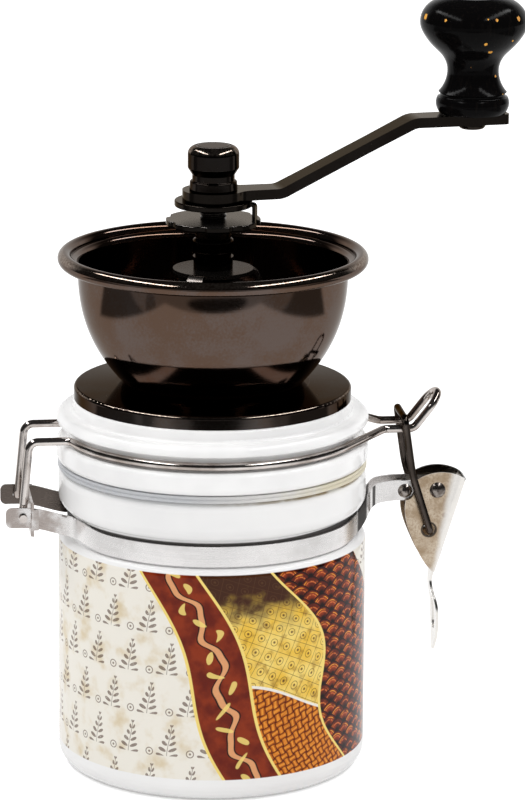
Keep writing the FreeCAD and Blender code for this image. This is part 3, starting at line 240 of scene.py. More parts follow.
# White glaze with fine pits, bare clay on the foot, painted shade in the neck's groove (a dark matt band
# standing in for the shadow of the gap above the strap) and a faint stain where the seal sits
glaze = {
    "white": (0.86, 0.855, 0.85),
    # Painted light: a brighter copy of the same white glaze for the lid ring, lifting it out of the bowl's
    # shade
    "litLidWhite": (0.93, 0.925, 0.92),
    "shade": (0.815, 0.81, 0.81),
    "clay": (0.60, 0.55, 0.47),
    "cloudSize": 18.0,
    "pitSpacing": 2.6,
    "pitHalf": 0.10,
    "stain": (0.34, 0.24, 0.11),
    "stainFrom": (-15.0, 30.0),
    "rimHeight": 94.3,
    "rimHalf": 0.45,
    "grooveRadius": 46.6,
    "grooveLow": 75.2,
    "grooveHigh": 81.8,
    "grooveWider": 0.8,
    "widerFrom": (15.0, 45.0),
    # Painted shade in the neck's groove
    "paintedGrooveShade": (0.035, 0.030, 0.027),
    "footHeight": 0.35,
    "roughness": 0.06,
    "bareRoughness": 0.7,
    "ior": 1.42,
    "waveSize": 14.0,
    "waveDepth": 0.014,
}

printed = {
    "radius": 48.0,
    "facing": math.radians(-96.3),
    "period": math.pi * 48.0,
    "low": 7.3,
    "high": 72.4,
    "slant": 0.42,
    "ribbonFrom": -8.0,
    "ribbonTo": 10.0,
    "scalesFrom": 36.0,
    "scalesTo": 72.1,
    "border": 0.5,
    "soft": 0.15,
    "sprigStep": 13.0,
    "sprigHalf": 5.2,
    "scrollMiddle": 1.5,
    "leafStep": 6.2,
    "strand": 2.3,
    "netStep": 7.0,
    "scaleRadius": 4.2,
    "cream": (0.82, 0.785, 0.71),
    "aged": (0.67, 0.56, 0.38),
    "sepia": (0.085, 0.034, 0.012),
    "crimson": (0.12, 0.009, 0.002),
    "russet": (0.24, 0.028, 0.005),
    "gold": (0.78, 0.49, 0.055),
    "paleGold": (0.86, 0.66, 0.19),
    "ochre": (0.24, 0.10, 0.008),
    "umber": (0.050, 0.015, 0.005),
    "orange": (0.60, 0.145, 0.008),
    "lightOrange": (0.84, 0.35, 0.04),
    "darkOrange": (0.08, 0.008, 0.001),
    "chestnut": (0.10, 0.010, 0.003),
    "darkBrown": (0.008, 0.001, 0.001),
    "blush": (0.70, 0.33, 0.15),
    "glint": (0.62, 0.15, 0.035),
    "gloss": 0.25,
}


def glazedCeramic(name, white):
    paint = Paint(name)
    cloud = paint.noise(glaze["cloudSize"], 2.0)
    body = paint.mix(cloud.rise(0.3, 0.7) * 0.8, white, glaze["shade"])
    pits = paint.dots(glaze["pitSpacing"], glaze["pitHalf"])
    body = paint.mix(pits * 0.25, body, glaze["clay"])
    rimLine = (paint.z - glaze["rimHeight"]).line(glaze["rimHalf"], 0.3)
    uneven = paint.noise(7.0, 3.0).rise(0.34, 0.60)
    side = paint.x.rise(*glaze["stainFrom"])
    body = paint.mix(rimLine * uneven * side * 0.85, body, glaze["stain"])
    # Painted shade: the neck's groove under the collar is darkened to stand in for its shadow
    radius, low, high = glaze["grooveRadius"], glaze["grooveLow"], glaze["grooveHigh"]
    inGroove = paint.length(paint.x, paint.y).rise(radius + 0.3, radius - 0.3)
    height = paint.z - paint.x.rise(*glaze["widerFrom"]) * glaze["grooveWider"]
    inGroove = inGroove * height.rise(high + 0.2, high - 0.2) * height.rise(low - 0.2, low + 0.2)
    body = paint.mix(inGroove * 0.95, body, glaze["paintedGrooveShade"])
    bare = paint.z.rise(glaze["footHeight"], glaze["footHeight"] - 0.2)
    paint.base = paint.mix(bare, body, glaze["clay"])
    paint.set("Base Color", paint.base)
    matt = bare.atLeast(inGroove)
    paint.set("Roughness", paint.blend(matt, cloud * 0.04 + glaze["roughness"], glaze["bareRoughness"]))
    paint.surface.inputs["IOR"].default_value = glaze["ior"]
    paint.bump(paint.noise(glaze["waveSize"], 1.0), glaze["waveDepth"])
    return paint


# A sprig in a cell: paired leaves that get smaller towards the tip of a thin stem
def sprig(across, along, halfLength):
    size = (halfLength * 1.25 - along) / (halfLength * 1.6)
    pair = along.repeated(2.0)
    out = across.abs() / size.atLeast(0.25) - 1.5
    leaf = (out / 1.2) ** 2 + ((pair - out * 0.45) / 0.55) ** 2
    stem = across.line(0.10, 0.06)
    withinLength = along.abs().rise(halfLength, halfLength - 0.3)
    return leaf.rise(1.05, 0.85).atLeast(stem) * withinLength


# How far a point lies from the middle of the scale that covers it, in rows of overlapping round scales
def scaleDistance(paint, u, v, radius):
    pitch = radius / 2
    row = v.stepNumber(pitch)
    rest = v - row * pitch
    offset = row.math("FLOORED_MODULO", 2.0) * radius
    side = (u + offset).repeated(2 * radius).abs()
    other = radius - side
    below = paint.length(other, rest + pitch)
    same = paint.length(side, rest)
    above = paint.length(other, rest - pitch)
    covered = paint.blend(same.rise(radius, radius - 0.01), above, same)
    return paint.blend(below.rise(radius, radius - 0.01), covered, below)


# Two fields that meet at an edge, with a gold border over it
def bordered(paint, place, edge, before, after):
    both = paint.mix(place.rise(edge - 0.1, edge + 0.1), before, after)
    return paint.mix((place - edge).line(printed["border"]), both, printed["paleGold"])


# Ornament: sprigs on cream, then slanting fields of scroll, gold lattice over basket weave, and scales.
# s runs round the jar and h up it; across and lean run across and along the slanting fields
def printedBand(paint):
    turn = paint.y.math("ARCTAN2", paint.x) - printed["facing"]
    s = (turn * printed["radius"] + printed["period"] / 2).repeated(printed["period"])
    h = paint.z
    flat = paint.vector(s, h)
    across = s + (h - 40.0) * printed["slant"] + (h / 11.0).sin() * 3.0
    lean = h - s * printed["slant"]
    mottle = paint.noise(7.0, 3.0, flat)
    fine = paint.noise(0.7, 2.0, flat)

    step = printed["sprigStep"]
    inRow = (s + h.stepNumber(step) * step / 2).repeated(step)
    up = h.repeated(step)
    sprigs = sprig(inRow - (up / 4.0).sin() * 0.9, up, printed["sprigHalf"])
    petals = paint.length(inRow.abs() - step / 2, up + 4.0)
    sprigs = sprigs.atLeast((petals - 1.1).line(0.16, 0.08)).atLeast(petals.rise(0.45, 0.3))
    paper = paint.mix(mottle.rise(0.46, 0.76), printed["cream"], printed["aged"])
    paper = paint.mix(sprigs * fine.rise(0.1, 0.45) * 0.75, paper, printed["sepia"])

    coil = (lean / 3.1).sin() * 2.2 + (lean / 1.3).cos() * 0.5
    fromMiddle = across - printed["scrollMiddle"]
    scroll = fromMiddle - coil
    leafRow = paint.length(lean.repeated(printed["leafStep"]) / 1.6, fromMiddle + coil * 1.6)
    ribbon = paint.mix(mottle.rise(0.35, 0.65), printed["crimson"], printed["russet"])
    ribbon = paint.mix(scroll.line(1.5, 0.15), ribbon, printed["darkBrown"])
    ribbon = paint.mix(scroll.line(1.0, 0.2), ribbon, printed["blush"])
    ribbon = paint.mix(leafRow.rise(1.3, 1.1) * 0.8, ribbon, printed["paleGold"])

    strand = printed["strand"]
    wave = math.pi / strand
    odd = (across.stepNumber(strand) + lean.stepNumber(strand)).math("FLOORED_MODULO", 2.0)
    rounded = paint.blend(odd, (across * wave).sin().abs(), (lean * wave).sin().abs())
    straw = paint.blend(odd, paint.noise(0.5, 2.0, paint.vector(across, lean * 0.2)),
                        paint.noise(0.5, 2.0, paint.vector(across * 0.2, lean)))
    raised = (rounded * 0.8 + straw * 0.5 - 0.3).rise(0.0, 0.8)
    weave = paint.mix(raised, printed["darkOrange"], printed["orange"])
    weave = paint.mix((rounded + straw - 1.0).rise(0.1, 0.7) * 0.8, weave, printed["lightOrange"])
    weave = paint.mix(mottle.rise(0.55, 0.8) * 0.5, weave, printed["darkOrange"])

    one, two = across + lean, across - lean
    step = printed["netStep"]
    net = one.repeated(step).line(0.11, 0.08).atLeast(two.repeated(step).line(0.11, 0.08))
    knots = paint.length((one + step / 2).repeated(step), (two + step / 2).repeated(step))
    net = net.atLeast((knots - 1.7).line(0.14, 0.08)).atLeast(knots.rise(0.7, 0.5))
    gold = paint.mix(mottle.rise(0.3, 0.7), printed["gold"], printed["paleGold"])
    gold = paint.mix(paint.noise(3.0, 2.0, flat).rise(0.50, 0.75) * 0.6, gold, printed["ochre"])
    gold = paint.mix((h + mottle * 24.0).rise(66.0, 78.0), gold, printed["umber"])
    gold = paint.mix(net * 0.85, gold, printed["sepia"])

    away = scaleDistance(paint, s + (h / 9.0).sin(), h, printed["scaleRadius"])
    tone = paint.noise(4.5, 1.0, flat)
    scale = paint.mix(tone.rise(0.4, 0.6), printed["chestnut"], printed["russet"])
    scale = paint.mix(away.rise(2.1, 0.6), scale, printed["darkBrown"])
    scale = paint.mix((away - 2.5).line(0.22, 0.15) * fine.rise(0.3, 0.6), scale, printed["glint"])
    scale = paint.mix(away.rise(3.3, 4.1), scale, printed["darkBrown"])
    scale = paint.mix((away - 3.2).line(0.12, 0.1) * tone.rise(0.45, 0.6), scale, printed["lightOrange"])

    upper = h - 36.0 - (s / 9.0).sin() * 3.0 + s * 0.18
    middle = paint.mix(upper.rise(-0.1, 0.1), weave, gold)
    middle = paint.mix(upper.line(0.45), middle, printed["cream"])
    right = across - (h / 8.0).cos() * 3.0
    design = bordered(paint, across, printed["ribbonFrom"], paper, ribbon)
    design = bordered(paint, across, printed["ribbonTo"], design, middle)
    design = bordered(paint, right, printed["scalesFrom"], design, scale)
    design = paint.mix(right.rise(printed["scalesTo"] - 0.1, printed["scalesTo"] + 0.1), design, paper)

    low, high, soft = printed["low"], printed["high"], printed["soft"]
    return design, h.rise(low - soft, low + soft) * h.rise(high + soft, high - soft)


def makeCeramic():
    # The lid ring takes the brighter white, painted light
    finish(glazedCeramic("glazedLid", glaze["litLidWhite"]), "lid_ring")
    paint = glazedCeramic("glazedJar", glaze["white"])
    design, between = printedBand(paint)
    outerFace = paint.length(paint.x, paint.y).rise(printed["radius"] - 1.0, printed["radius"] - 0.6)
    paint.set("Base Color", paint.mix(between * outerFace, paint.base, design))
    paint.surface.inputs["Specular IOR Level"].default_value = printed["gloss"]
    finish(paint, "jar")


makeCeramic()
report("ceramic")


# Black nickel plate. Each finish has a brown tone, a grey tone, a roughness and the tint of its glancing
# reflections. Each rubbed edge has the radius and height of its rounding's middle, and its rounding
nickel = {
    "bowl": ((0.112, 0.070, 0.050), (0.126, 0.094, 0.081), 0.075, (0.66, 0.64, 0.62)),
    "cover": ((0.062, 0.046, 0.038), (0.068, 0.058, 0.053), 0.07, (0.42, 0.40, 0.38)),
    "cap": ((0.024, 0.019, 0.016), (0.029, 0.025, 0.023), 0.11, (0.50, 0.46, 0.43)),
    "plate": ((0.165, 0.144, 0.130), (0.205, 0.189, 0.178), 0.26, (0.42, 0.40, 0.38)),
    "arm": ((0.022, 0.018, 0.015), (0.027, 0.023, 0.020), 0.13, (0.58, 0.54, 0.49)),
    # Height of the adjusting nut's top, above which it is painted lighter
    "nutTop": 172.65,
    "rubbed": (0.34, 0.28, 0.235),
    "edges": [(42.2, 119.5, 1.0), (45.65, 160.45, 2.25), (5.35, 192.9, 2.6)],
    "dust": (0.34, 0.30, 0.27),
    "dustSpacing": 3.4,
    "dustHalf": 0.09,
    "cloudSize": 16.0,
    "speckSize": 0.7,
    "spunSize": 0.5,
    "spunDepth": 0.0022,
    "castDepth": 0.004,
    "crownRing": 5.1,
    "crownHeight": 190.0,
    "crownDepth": 0.12,
}


# Spun pieces have fine turning marks and rubbed edges. Above a given height a piece takes the plate's grey
# and
# roughness: its top is painted lighter than its sides, a painted reflection of the bright surroundings
def blackNickel(name, tones, spun, paintedTopAbove=None):
    paint = Paint(name)
    brown, grey, roughness, edge = tones
    cloud = paint.noise(nickel["cloudSize"], 2.0)
    speck = paint.noise(nickel["speckSize"], 2.0)
    colour = paint.mix((cloud + speck * 0.5 - 0.25).rise(0.35, 0.65), brown, grey)
    if paintedTopAbove:
        # Painted reflection: the top painted in the plate's lighter grey
        worn = paint.z.rise(paintedTopAbove - 0.15, paintedTopAbove)
        plateGrey, plateRoughness = nickel["plate"][1:3]
        colour = paint.mix(worn, colour, plateGrey)
        roughness = worn * (plateRoughness - roughness) + roughness
    dust = paint.dots(nickel["dustSpacing"], nickel["dustHalf"])
    colour = paint.mix(dust * 0.35, colour, nickel["dust"])
    radius = paint.length(paint.x, paint.y)
    if spun:
        for ring, height, rounding in nickel["edges"]:
            out, up = radius - ring, paint.z - height
            rubbed = (out + up).rise(rounding * 1.12, rounding * 1.30)
            rubbed = rubbed * paint.length(out, up).rise(rounding + 0.4, rounding + 0.2)
            colour = paint.mix(rubbed * speck.rise(0.2, 0.7), colour, nickel["rubbed"])
    paint.set("Base Color", colour)
    paint.surface.inputs["Metallic"].default_value = 1.0
    paint.set("Specular Tint", edge)
    paint.set("Roughness", speck * 0.05 + cloud * 0.04 + dust * 0.25 - 0.035 + roughness)
    if spun:
        turned = paint.noise(nickel["spunSize"], 2.0, paint.vector(radius, paint.z * 0.6))
        paint.bump(turned, nickel["spunDepth"])
        onCrown = paint.z.rise(nickel["crownHeight"] - 1, nickel["crownHeight"])
        paint.bump((radius - nickel["crownRing"]).line(0.25, 0.25) * onCrown, -nickel["crownDepth"])
    else:
        paint.bump(speck, nickel["castDepth"])
    return paint


bowl = {
    "low": 121.5,
    "foot": 27.5,
    "rimWall": 41.75,
    "wallHeight": 38.0,
    "power": 2.6,
    "sheet": 0.8,
    "chute": 17.0,
    "bead": (45.65, 38.95, 2.25),
    "beadFrom": -160.5,
    "beadTo": 180.0,
    "around": 288,
    "under": [(41.74, 36.6), (41.78, 37.7), (42.4, 38.1), (43.53, 38.2)],
    "shoulder": [(43.4, 39.0), (42.2, 38.9), (40.98, 38.6), (40.94, 36.6)],
}


# Points of the smooth curve that four points pull: (1-t)^3 a + 3(1-t)^2 t b + 3(1-t) t^2 c + t^3 d
def pulledCurve(points, steps):
    a, b, c, d = (np.array(point) for point in points)
    t = np.linspace(0, 1, steps)[:, None]
    return (1 - t) ** 3 * a + 3 * (1 - t) ** 2 * t * b + 3 * (1 - t) * t ** 2 * c + t ** 3 * d


# Spun bowl: radius of the wall = rimWall - (rimWall - foot) x (1 - height / wallHeight)^power. The wall
# turns out under a round bead, comes back inside one sheet thinner and ends in a flat floor round the chute
def makeBowl():
    top = bowl["under"][0][1]
    rise = np.linspace(0, top, 60)
    gone = 1 - rise / bowl["wallHeight"]
    spread = bowl["rimWall"] - bowl["foot"]
    wall = bowl["rimWall"] - spread * gone ** bowl["power"]
    slope = spread * bowl["power"] / bowl["wallHeight"] * gone ** (bowl["power"] - 1)
    outer = np.column_stack([wall, rise])
    sheet, chute = bowl["sheet"], bowl["chute"]
    inner = np.column_stack([wall - sheet * np.sqrt(1 + slope ** 2), rise])
    inner = inner[rise > sheet + 0.3][::-1]
    centre, height, radius = bowl["bead"]
    angle = np.radians(np.linspace(bowl["beadFrom"], bowl["beadTo"], 48))
    bead = np.column_stack([centre + radius * np.cos(angle), height + radius * np.sin(angle)])
    floorRim = [(inner[-1, 0] - 0.35, sheet), (chute, sheet), (chute, 0.0)]
    profile = np.vstack([outer[:-1], pulledCurve(bowl["under"], 10)[:-1], bead[:-1],
                         pulledCurve(bowl["shoulder"], 10)[:-1], inner, floorRim])
    turn = np.linspace(0, 2 * np.pi, bowl["around"], endpoint=False)
    r, h = profile[:, :1], profile[:, 1:]
    piece = gridPiece("spunBowl", r * np.cos(turn), r * np.sin(turn), bowl["low"] + h + 0 * turn,
                      "lid", blackNickel("bowlNickel", nickel["bowl"], True))
    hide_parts("hopper_bowl")


makeBowl()
finish(blackNickel("coverNickel", nickel["cover"], True), "cover_plate")
finish(blackNickel("capNickel", nickel["cap"], True), "cap_nut", "upper_bush")
finish(blackNickel("plateNickel", nickel["plate"], False), "bearing_bridge")
# The adjusting nut has the arm's dark tones on its sides and a painted lighter top
finish(blackNickel("nutNickel", nickel["arm"], False, nickel["nutTop"]), "adjusting_nut")
finish(blackNickel("armNickel", nickel["arm"], False), "stopper", "crank_arm", "knob_pin")
report("black nickel")


# The screw thread of the spindle where it shows between the adjusting nut and the stopper plate
thread = {
    "low": 172.7,
    "high": 176.7,
    "root": 3.72,
    "crest": 4.05,
    "inner": 3.4,
    "pitch": 1.25,
}


# Radius = root + depth x ridge(height / pitch - turn), where the ridge rises and falls once a pitch
def makeThread():
    turn = np.linspace(0, 2 * np.pi, 96, endpoint=False)
    height = np.linspace(thread["low"], thread["high"], 65)
    phase = height[:, None] / thread["pitch"] - turn[None, :] / (2 * np.pi)
    ridge = np.clip(1.5 * (0.5 + 0.5 * np.cos(2 * np.pi * phase)) - 0.25, 0, 1)
    radius = thread["root"] + (thread["crest"] - thread["root"]) * ridge
    ends = np.full((1, len(turn)), thread["inner"])
    radius = np.vstack([ends, radius, ends])
    height = np.concatenate([height[:1], height, height[-1:]])
    z = np.repeat(height[:, None], len(turn), axis=1)
    gridPiece("spindleThread", radius * np.cos(turn), radius * np.sin(turn), z,
              "crank", spindlePaint)


# Stainless strap, tie, rivets, wire and lever. Spots have a place and a half width
steel = {
    "strap": (0.93, 0.91, 0.90),
    "strapShade": (0.80, 0.775, 0.76),
    "strapStain": (0.10, 0.075, 0.06),
    "strapRadius": 48.0,
    # Painted shade for the rear half
    "rearPaintedShade": (0.15, 0.125, 0.11),
    "rearFrom": (2.0, 8.0),
    "earShade": (0.50, 0.44, 0.41),
    "earFrom": (-45.0, -50.0),
    # Painted dark reflection where the latch ears turn off the jar and in the front ear's crease
    "paintedDarkReflection": (0.022, 0.018, 0.016),
    "paintedDarkStart": 43.6,
    "bend": (50.4, -4.2),
    "stains": [((-47.0, -14.4, 83.7), 1.1), ((-44.3, -14.4, 82.6), 0.7), ((-48.9, -14.4, 84.6), 0.6)],
    "wire": (0.74, 0.69, 0.66),
    "wireShade": (0.34, 0.285, 0.25),
    "wireEdge": (0.62, 0.58, 0.55),
    # A darker copy of the wire steel for the latch link: painted shade for the dark room it reflects
    "darkWire": (0.10, 0.083, 0.073),
    "darkWireShade": (0.045, 0.036, 0.030),
    "darkWireEdge": (0.34, 0.32, 0.30),
    "rust": (0.22, 0.075, 0.025),
    "rustSpots": [((37.0, -33.6, 105.6), 0.55), ((41.0, -29.2, 105.8), 0.5), ((-37.3, -36.8, 107.0), 0.45)],
    "lever": (0.60, 0.50, 0.385),
    "leverShade": (0.40, 0.295, 0.195),
    # Painted highlight along the outer edge and the tail
    "leverPaintedHighlight": (0.92, 0.90, 0.87),
    "leverSlant": 0.185,
    "highlightEdge": (57.8, 60.4),
    "highlightTail": (62.0, 58.0),
    # Painted shade on the far cheek's top and round the link's hole
    "leverPaintedShade": (0.030, 0.025, 0.022),
    "rimTop": 88.6,
    "rimBehind": (-5.0, -4.6),
    "hole": (67.74, 73.06, 2.55),
    "tarnish": (0.30, 0.20, 0.125),
    "tarnishSpots": [((74.4, -5.5, 79.5), 0.9), ((72.8, -5.5, 77.6), 0.8), ((76.6, -5.5, 85.6), 0.9)],
    "rivet": (0.34, 0.305, 0.28),
    "rivetShade": (0.16, 0.135, 0.12),
}


def blots(paint, colour, spots, stain):
    for place, halfWidth in spots:
        colour = paint.mix(paint.blot(place, halfWidth) * 0.75, colour, stain)
    return colour


# Brushed strap: darker in clouds over the hinge ears, painted shade over the rear half, and a painted dark
# reflection, dull and barely metallic, where the latch ears turn off the jar and in the crease of the front
# one
def strapSteel():
    paint = Paint("strapSteel")
    bend = steel["strapRadius"]
    along = paint.y.math("ARCTAN2", paint.x) * bend
    radius = paint.length(paint.x, paint.y)
    streak = paint.noise(0.35, 2.0, paint.vector(along * 0.04, paint.z, radius * 0.2))
    cloud = paint.noise(6.0, 3.0)
    colour = paint.mix(cloud.rise(0.45, 0.85), steel["strap"], steel["strapShade"])
    # Darker in clouds over the hinge ears
    onEar = paint.x.rise(*steel["earFrom"]) * cloud.rise(0.30, 0.55)
    colour = paint.mix(onEar, colour, steel["earShade"])
    # Painted shade: the rear half darkened, standing in for its dark reflections
    colour = paint.mix(paint.y.rise(*steel["rearFrom"]), colour, steel["rearPaintedShade"])
    # Painted dark reflection: darker, duller and barely metallic at the latch end and in the front ear's
    # crease
    paintedDark = paint.x.rise(steel["paintedDarkStart"] - 0.4, steel["paintedDarkStart"] + 0.4) * radius.rise(bend + 0.6, bend)
    paintedDark = paintedDark * cloud.rise(0.15, 0.35)
    bendX, bendY = steel["bend"]
    crease = (paint.x - bendX).line(0.45, 0.15) * paint.y.rise(bendY + 0.6, bendY + 0.3)
    paintedDark = paintedDark.atLeast(crease * 0.9)
    colour = paint.mix(paintedDark, colour, steel["paintedDarkReflection"])
    colour = paint.mix(paint.dots(8.0, 0.2) * 0.6, colour, steel["strapStain"])
    colour = blots(paint, colour, steel["stains"], steel["strapStain"])
    paint.set("Base Color", colour)
    paint.set("Metallic", 1.0 - paintedDark * 0.9)
    paint.set("Roughness", streak * 0.12 + cloud * 0.10 + paintedDark * 0.2 + 0.17)
    paint.bump(streak, 0.004)
    return paint


def wireSteel(name, wire):
    paint = Paint(name)
    cloud = paint.noise(9.0, 2.0)
    colour = paint.mix(cloud.rise(0.30, 0.75), steel[wire], steel[wire + "Shade"])
    colour = blots(paint, colour, steel["rustSpots"], steel["rust"])
    paint.set("Base Color", colour)
    paint.surface.inputs["Metallic"].default_value = 1.0
    paint.set("Specular Tint", steel[wire + "Edge"])
    paint.set("Roughness", cloud * 0.14 + 0.06)
    paint.bump(paint.noise(0.8, 2.0), 0.006)
    return paint


# Dull cheeks with a painted highlight along the outer edge and the tail, and painted shade on the far
# cheek's top and in a ring round the link's hole that makes the hole look larger
def leverSteel():
    paint = Paint("leverSteel")
    cloud = paint.noise(5.0, 4.0)
    fine = paint.noise(0.7, 3.0)
    # Painted highlight: a bright band along the outer edge and the tail
    edge = (paint.x - paint.z * steel["leverSlant"] + cloud * 2.0).rise(*steel["highlightEdge"])
    edge = edge.atLeast(paint.z.rise(*steel["highlightTail"]))
    colour = paint.mix(cloud.rise(0.38, 0.66), steel["lever"], steel["leverShade"])
    colour = paint.mix(fine.rise(0.42, 0.66) * 0.6, colour, steel["leverShade"])
    colour = paint.mix(paint.dots(2.2, 0.16) * 0.5, colour, steel["tarnish"])
    colour = blots(paint, colour, steel["tarnishSpots"], steel["tarnish"])
    colour = paint.mix(edge * 0.9, colour, steel["leverPaintedHighlight"])
    # Painted shade: the top of the far cheek, and a ring round the link's hole that makes the hole look
    # larger
    rim = paint.z.rise(steel["rimTop"] - 0.5, steel["rimTop"] + 0.3) * paint.y.rise(*steel["rimBehind"])
    holeX, holeZ, holeShadeRadius = steel["hole"]
    fromHole = paint.length(paint.x - holeX, paint.z - holeZ)
    rim = rim.atLeast(fromHole.rise(holeShadeRadius + 0.15, holeShadeRadius - 0.15))
    colour = paint.mix(rim * 0.9, colour, steel["leverPaintedShade"])
    paint.set("Base Color", colour)
    paint.surface.inputs["Metallic"].default_value = 1.0
    paint.set("Roughness", cloud * 0.14 + fine * 0.10 + 0.10)
    paint.bump(fine, 0.005)
    return paint


def rivetSteel():
    paint = Paint("rivetSteel")
    cloud = paint.noise(1.4, 3.0)
    paint.set("Base Color", paint.mix(cloud.rise(0.35, 0.7), steel["rivet"], steel["rivetShade"]))
    paint.surface.inputs["Metallic"].default_value = 1.0
    paint.set("Roughness", cloud * 0.25 + 0.12)
    paint.bump(cloud, 0.02)
    return paint


finish(strapSteel(), "band_front", "band_rear", "hinge_tie")
finish(wireSteel("bailWire", "wire"), "bail_wire")
# The latch link takes the darker copy of the wire steel, painted shade
finish(wireSteel("linkWire", "darkWire"), "latch_link")
finish(leverSteel(), "latch_lever")
finish(rivetSteel(), "spacer_rivet", "lever_rivet", "housing_screws")
report("steel")


# Grey rubber seal with a lip above and below, yellowed towards the latch
seal = {
    "grey": (0.50, 0.51, 0.53),
    "pale": (0.66, 0.65, 0.63),
    "yellow": (0.66, 0.61, 0.47),
    "paleFrom": (-20.0, 15.0),
    "yellowSpread": 50.0,
    "yellowFrom": (0.7, 1.3),
    "roughness": 0.34,
    "inner": 37.5,
    "outer": 48.2,
    "low": 94.9,
    "high": 97.0,
    "lipRound": 0.40,
    "groove": 0.45,
    "grooveWidth": 0.17,
    "uneven": 0.05,
}


def sealPaint():
    paint = Paint("sealRubber")
    cloud = paint.noise(10.0, 3.0)
    colour = paint.mix(paint.x.rise(*seal["paleFrom"]), seal["grey"], seal["pale"])
    aged = (paint.x / seal["yellowSpread"] + cloud).rise(*seal["yellowFrom"])
    colour = paint.mix(aged, colour, seal["yellow"])
    paint.set("Base Color", colour)
    paint.set("Roughness", cloud * 0.2 + seal["roughness"] - 0.1)
    paint.bump(paint.noise(0.9, 2.0), 0.02)
    return paint


# Outer radius = outer - lipRound x (2t - 1)^8 - groove x exp(-((t - 0.5) / grooveWidth)^2), with t from 0
# at the low edge to 1 at the high edge. An uneven wave takes some off, more towards the outside
def makeSeal():
    turn = np.linspace(0, 2 * np.pi, 384, endpoint=False)
    t = np.linspace(0, 1, 29)
    rounded = seal["lipRound"] * (2 * t - 1) ** 8
    grooved = seal["groove"] * np.exp(-((t - 0.5) / seal["grooveWidth"]) ** 2)
    outer = seal["outer"] - rounded - grooved
    rise = seal["low"] + (seal["high"] - seal["low"]) * t
    radius = np.concatenate([[seal["inner"]], outer, [seal["inner"]]])
    height = np.concatenate([[seal["low"]], rise, [seal["high"]]])
    wobble = seal["uneven"] * (np.sin(5 * turn) + 0.6 * np.sin(11 * turn + 1.0) - 1.6)
    share = (radius - seal["inner"]) / (seal["outer"] - seal["inner"])
    r = radius[:, None] + share[:, None] * wobble[None, :]
    z = np.repeat(height[:, None], len(turn), axis=1)
    ring = gridPiece("sealRing", r * np.cos(turn), r * np.sin(turn), z, "lid", sealPaint())
    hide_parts("gasket")


makeSeal()
report("seal")


# Black lacquered knob, chipped to the yellow wood; each chip has its turn, height, radius and half width
knob = {
    "axis": (82.09, 12.27, 202.3),
    "lacquer": (0.0022, 0.0020, 0.0021),
    "worn": (0.008, 0.006, 0.005),
    "wood": (0.85, 0.42, 0.07),
    "dullWood": (0.42, 0.18, 0.07),
    "grainSize": 0.8,
    "grainStretch": 0.12,
    "grainDepth": 0.04,
    "nickSpacing": 9.0,
    "nickHalf": 0.16,
    "roughness": 0.10,
    "woodRoughness": 0.75,
    "gloss": 0.045,
    "chipDepth": 0.15,
    "chips": [(-166, 30.7, 16.1, 1.0), (175, 25.9, 16.3, 0.55), (-132, 30.7, 16.1, 0.45),
              (-84, 31.4, 15.7, 0.35), (-74, 31.1, 15.9, 0.5), (-42, 30.8, 16.1, 0.75),
              (-85, 23.6, 14.8, 0.55), (-75, 20.7, 12.4, 0.65), (-47, 24.0, 15.1, 0.4),
              (-40, 12.1, 8.2, 0.45), (-124, 6.0, 10.7, 0.4), (-37, 6.4, 10.6, 0.4),
              (60, 29.0, 16.5, 0.7), (110, 21.5, 13.2, 0.5), (20, 3.0, 11.3, 0.5)],
}


def lacquer():
    paint = Paint("lacquer")
    x, y, z = knob["axis"]
    stretched = paint.vector(paint.x - x, paint.y - y, (paint.z - z) * knob["grainStretch"])
    grain = paint.noise(knob["grainSize"], 3.0, stretched)
    cloud = paint.noise(4.0, 3.0)
    colour = paint.mix(grain.rise(0.5, 0.8) * 0.5, knob["lacquer"], knob["worn"])
    bare = paint.dots(knob["nickSpacing"], knob["nickHalf"])
    for turn, height, radius, halfWidth in knob["chips"]:
        bearing = math.radians(turn)
        place = (x + radius * math.cos(bearing), y + radius * math.sin(bearing), z + height)
        bare = bare.atLeast(paint.blot(place, halfWidth))
    wood = paint.mix(grain.rise(0.4, 0.7), knob["wood"], knob["dullWood"])
    paint.set("Base Color", paint.mix(bare, colour, wood))
    roughness = cloud * 0.12 + grain * 0.12 + knob["roughness"] - 0.08
    paint.set("Roughness", paint.blend(bare, roughness, knob["woodRoughness"]))
    paint.surface.inputs["Specular IOR Level"].default_value = knob["gloss"]
    paint.bump(grain, knob["grainDepth"])
    paint.bump(bare, -knob["chipDepth"])
    return paint


finish(lacquer(), "knob")
report("knob")


# Working parts: cast burrs, moulded housing, plain steel and the blackened spindle. Each finish has a light
# tone, a dark tone, a roughness and how metallic it is
working = {
    "iron": ((0.20, 0.19, 0.18), (0.12, 0.11, 0.10), 0.40, 1.0),
    "moulding": ((0.022, 0.022, 0.024), (0.030, 0.030, 0.030), 0.35, 0.0),
    "bright": ((0.42, 0.41, 0.40), (0.30, 0.29, 0.28), 0.22, 1.0),
    "blackened": ((0.075, 0.066, 0.060), (0.045, 0.040, 0.036), 0.22, 1.0),
}


def cloudedPaint(name, light, dark, roughness, metallic):
    paint = Paint(name)
    cloud = paint.noise(2.5, 3.0)
    paint.set("Base Color", paint.mix(cloud.rise(0.35, 0.7), light, dark))
    paint.surface.inputs["Metallic"].default_value = metallic
    paint.set("Roughness", cloud * 0.2 + roughness - 0.05)
    paint.bump(cloud, 0.02)
    return paint


spindlePaint = cloudedPaint("blackenedSteel", *working["blackened"])
finish(cloudedPaint("castIron", *working["iron"]), "inner_burr", "outer_burr")
finish(cloudedPaint("mouldedPlastic", *working["moulding"]), "burr_housing", "clamp_ring", "lower_bracket")
finish(cloudedPaint("plainSteel", *working["bright"]), "burr_nut", "spring_seat", "spring_pin", "spring")
finish(spindlePaint, "spindle")
makeThread()
report("working parts")


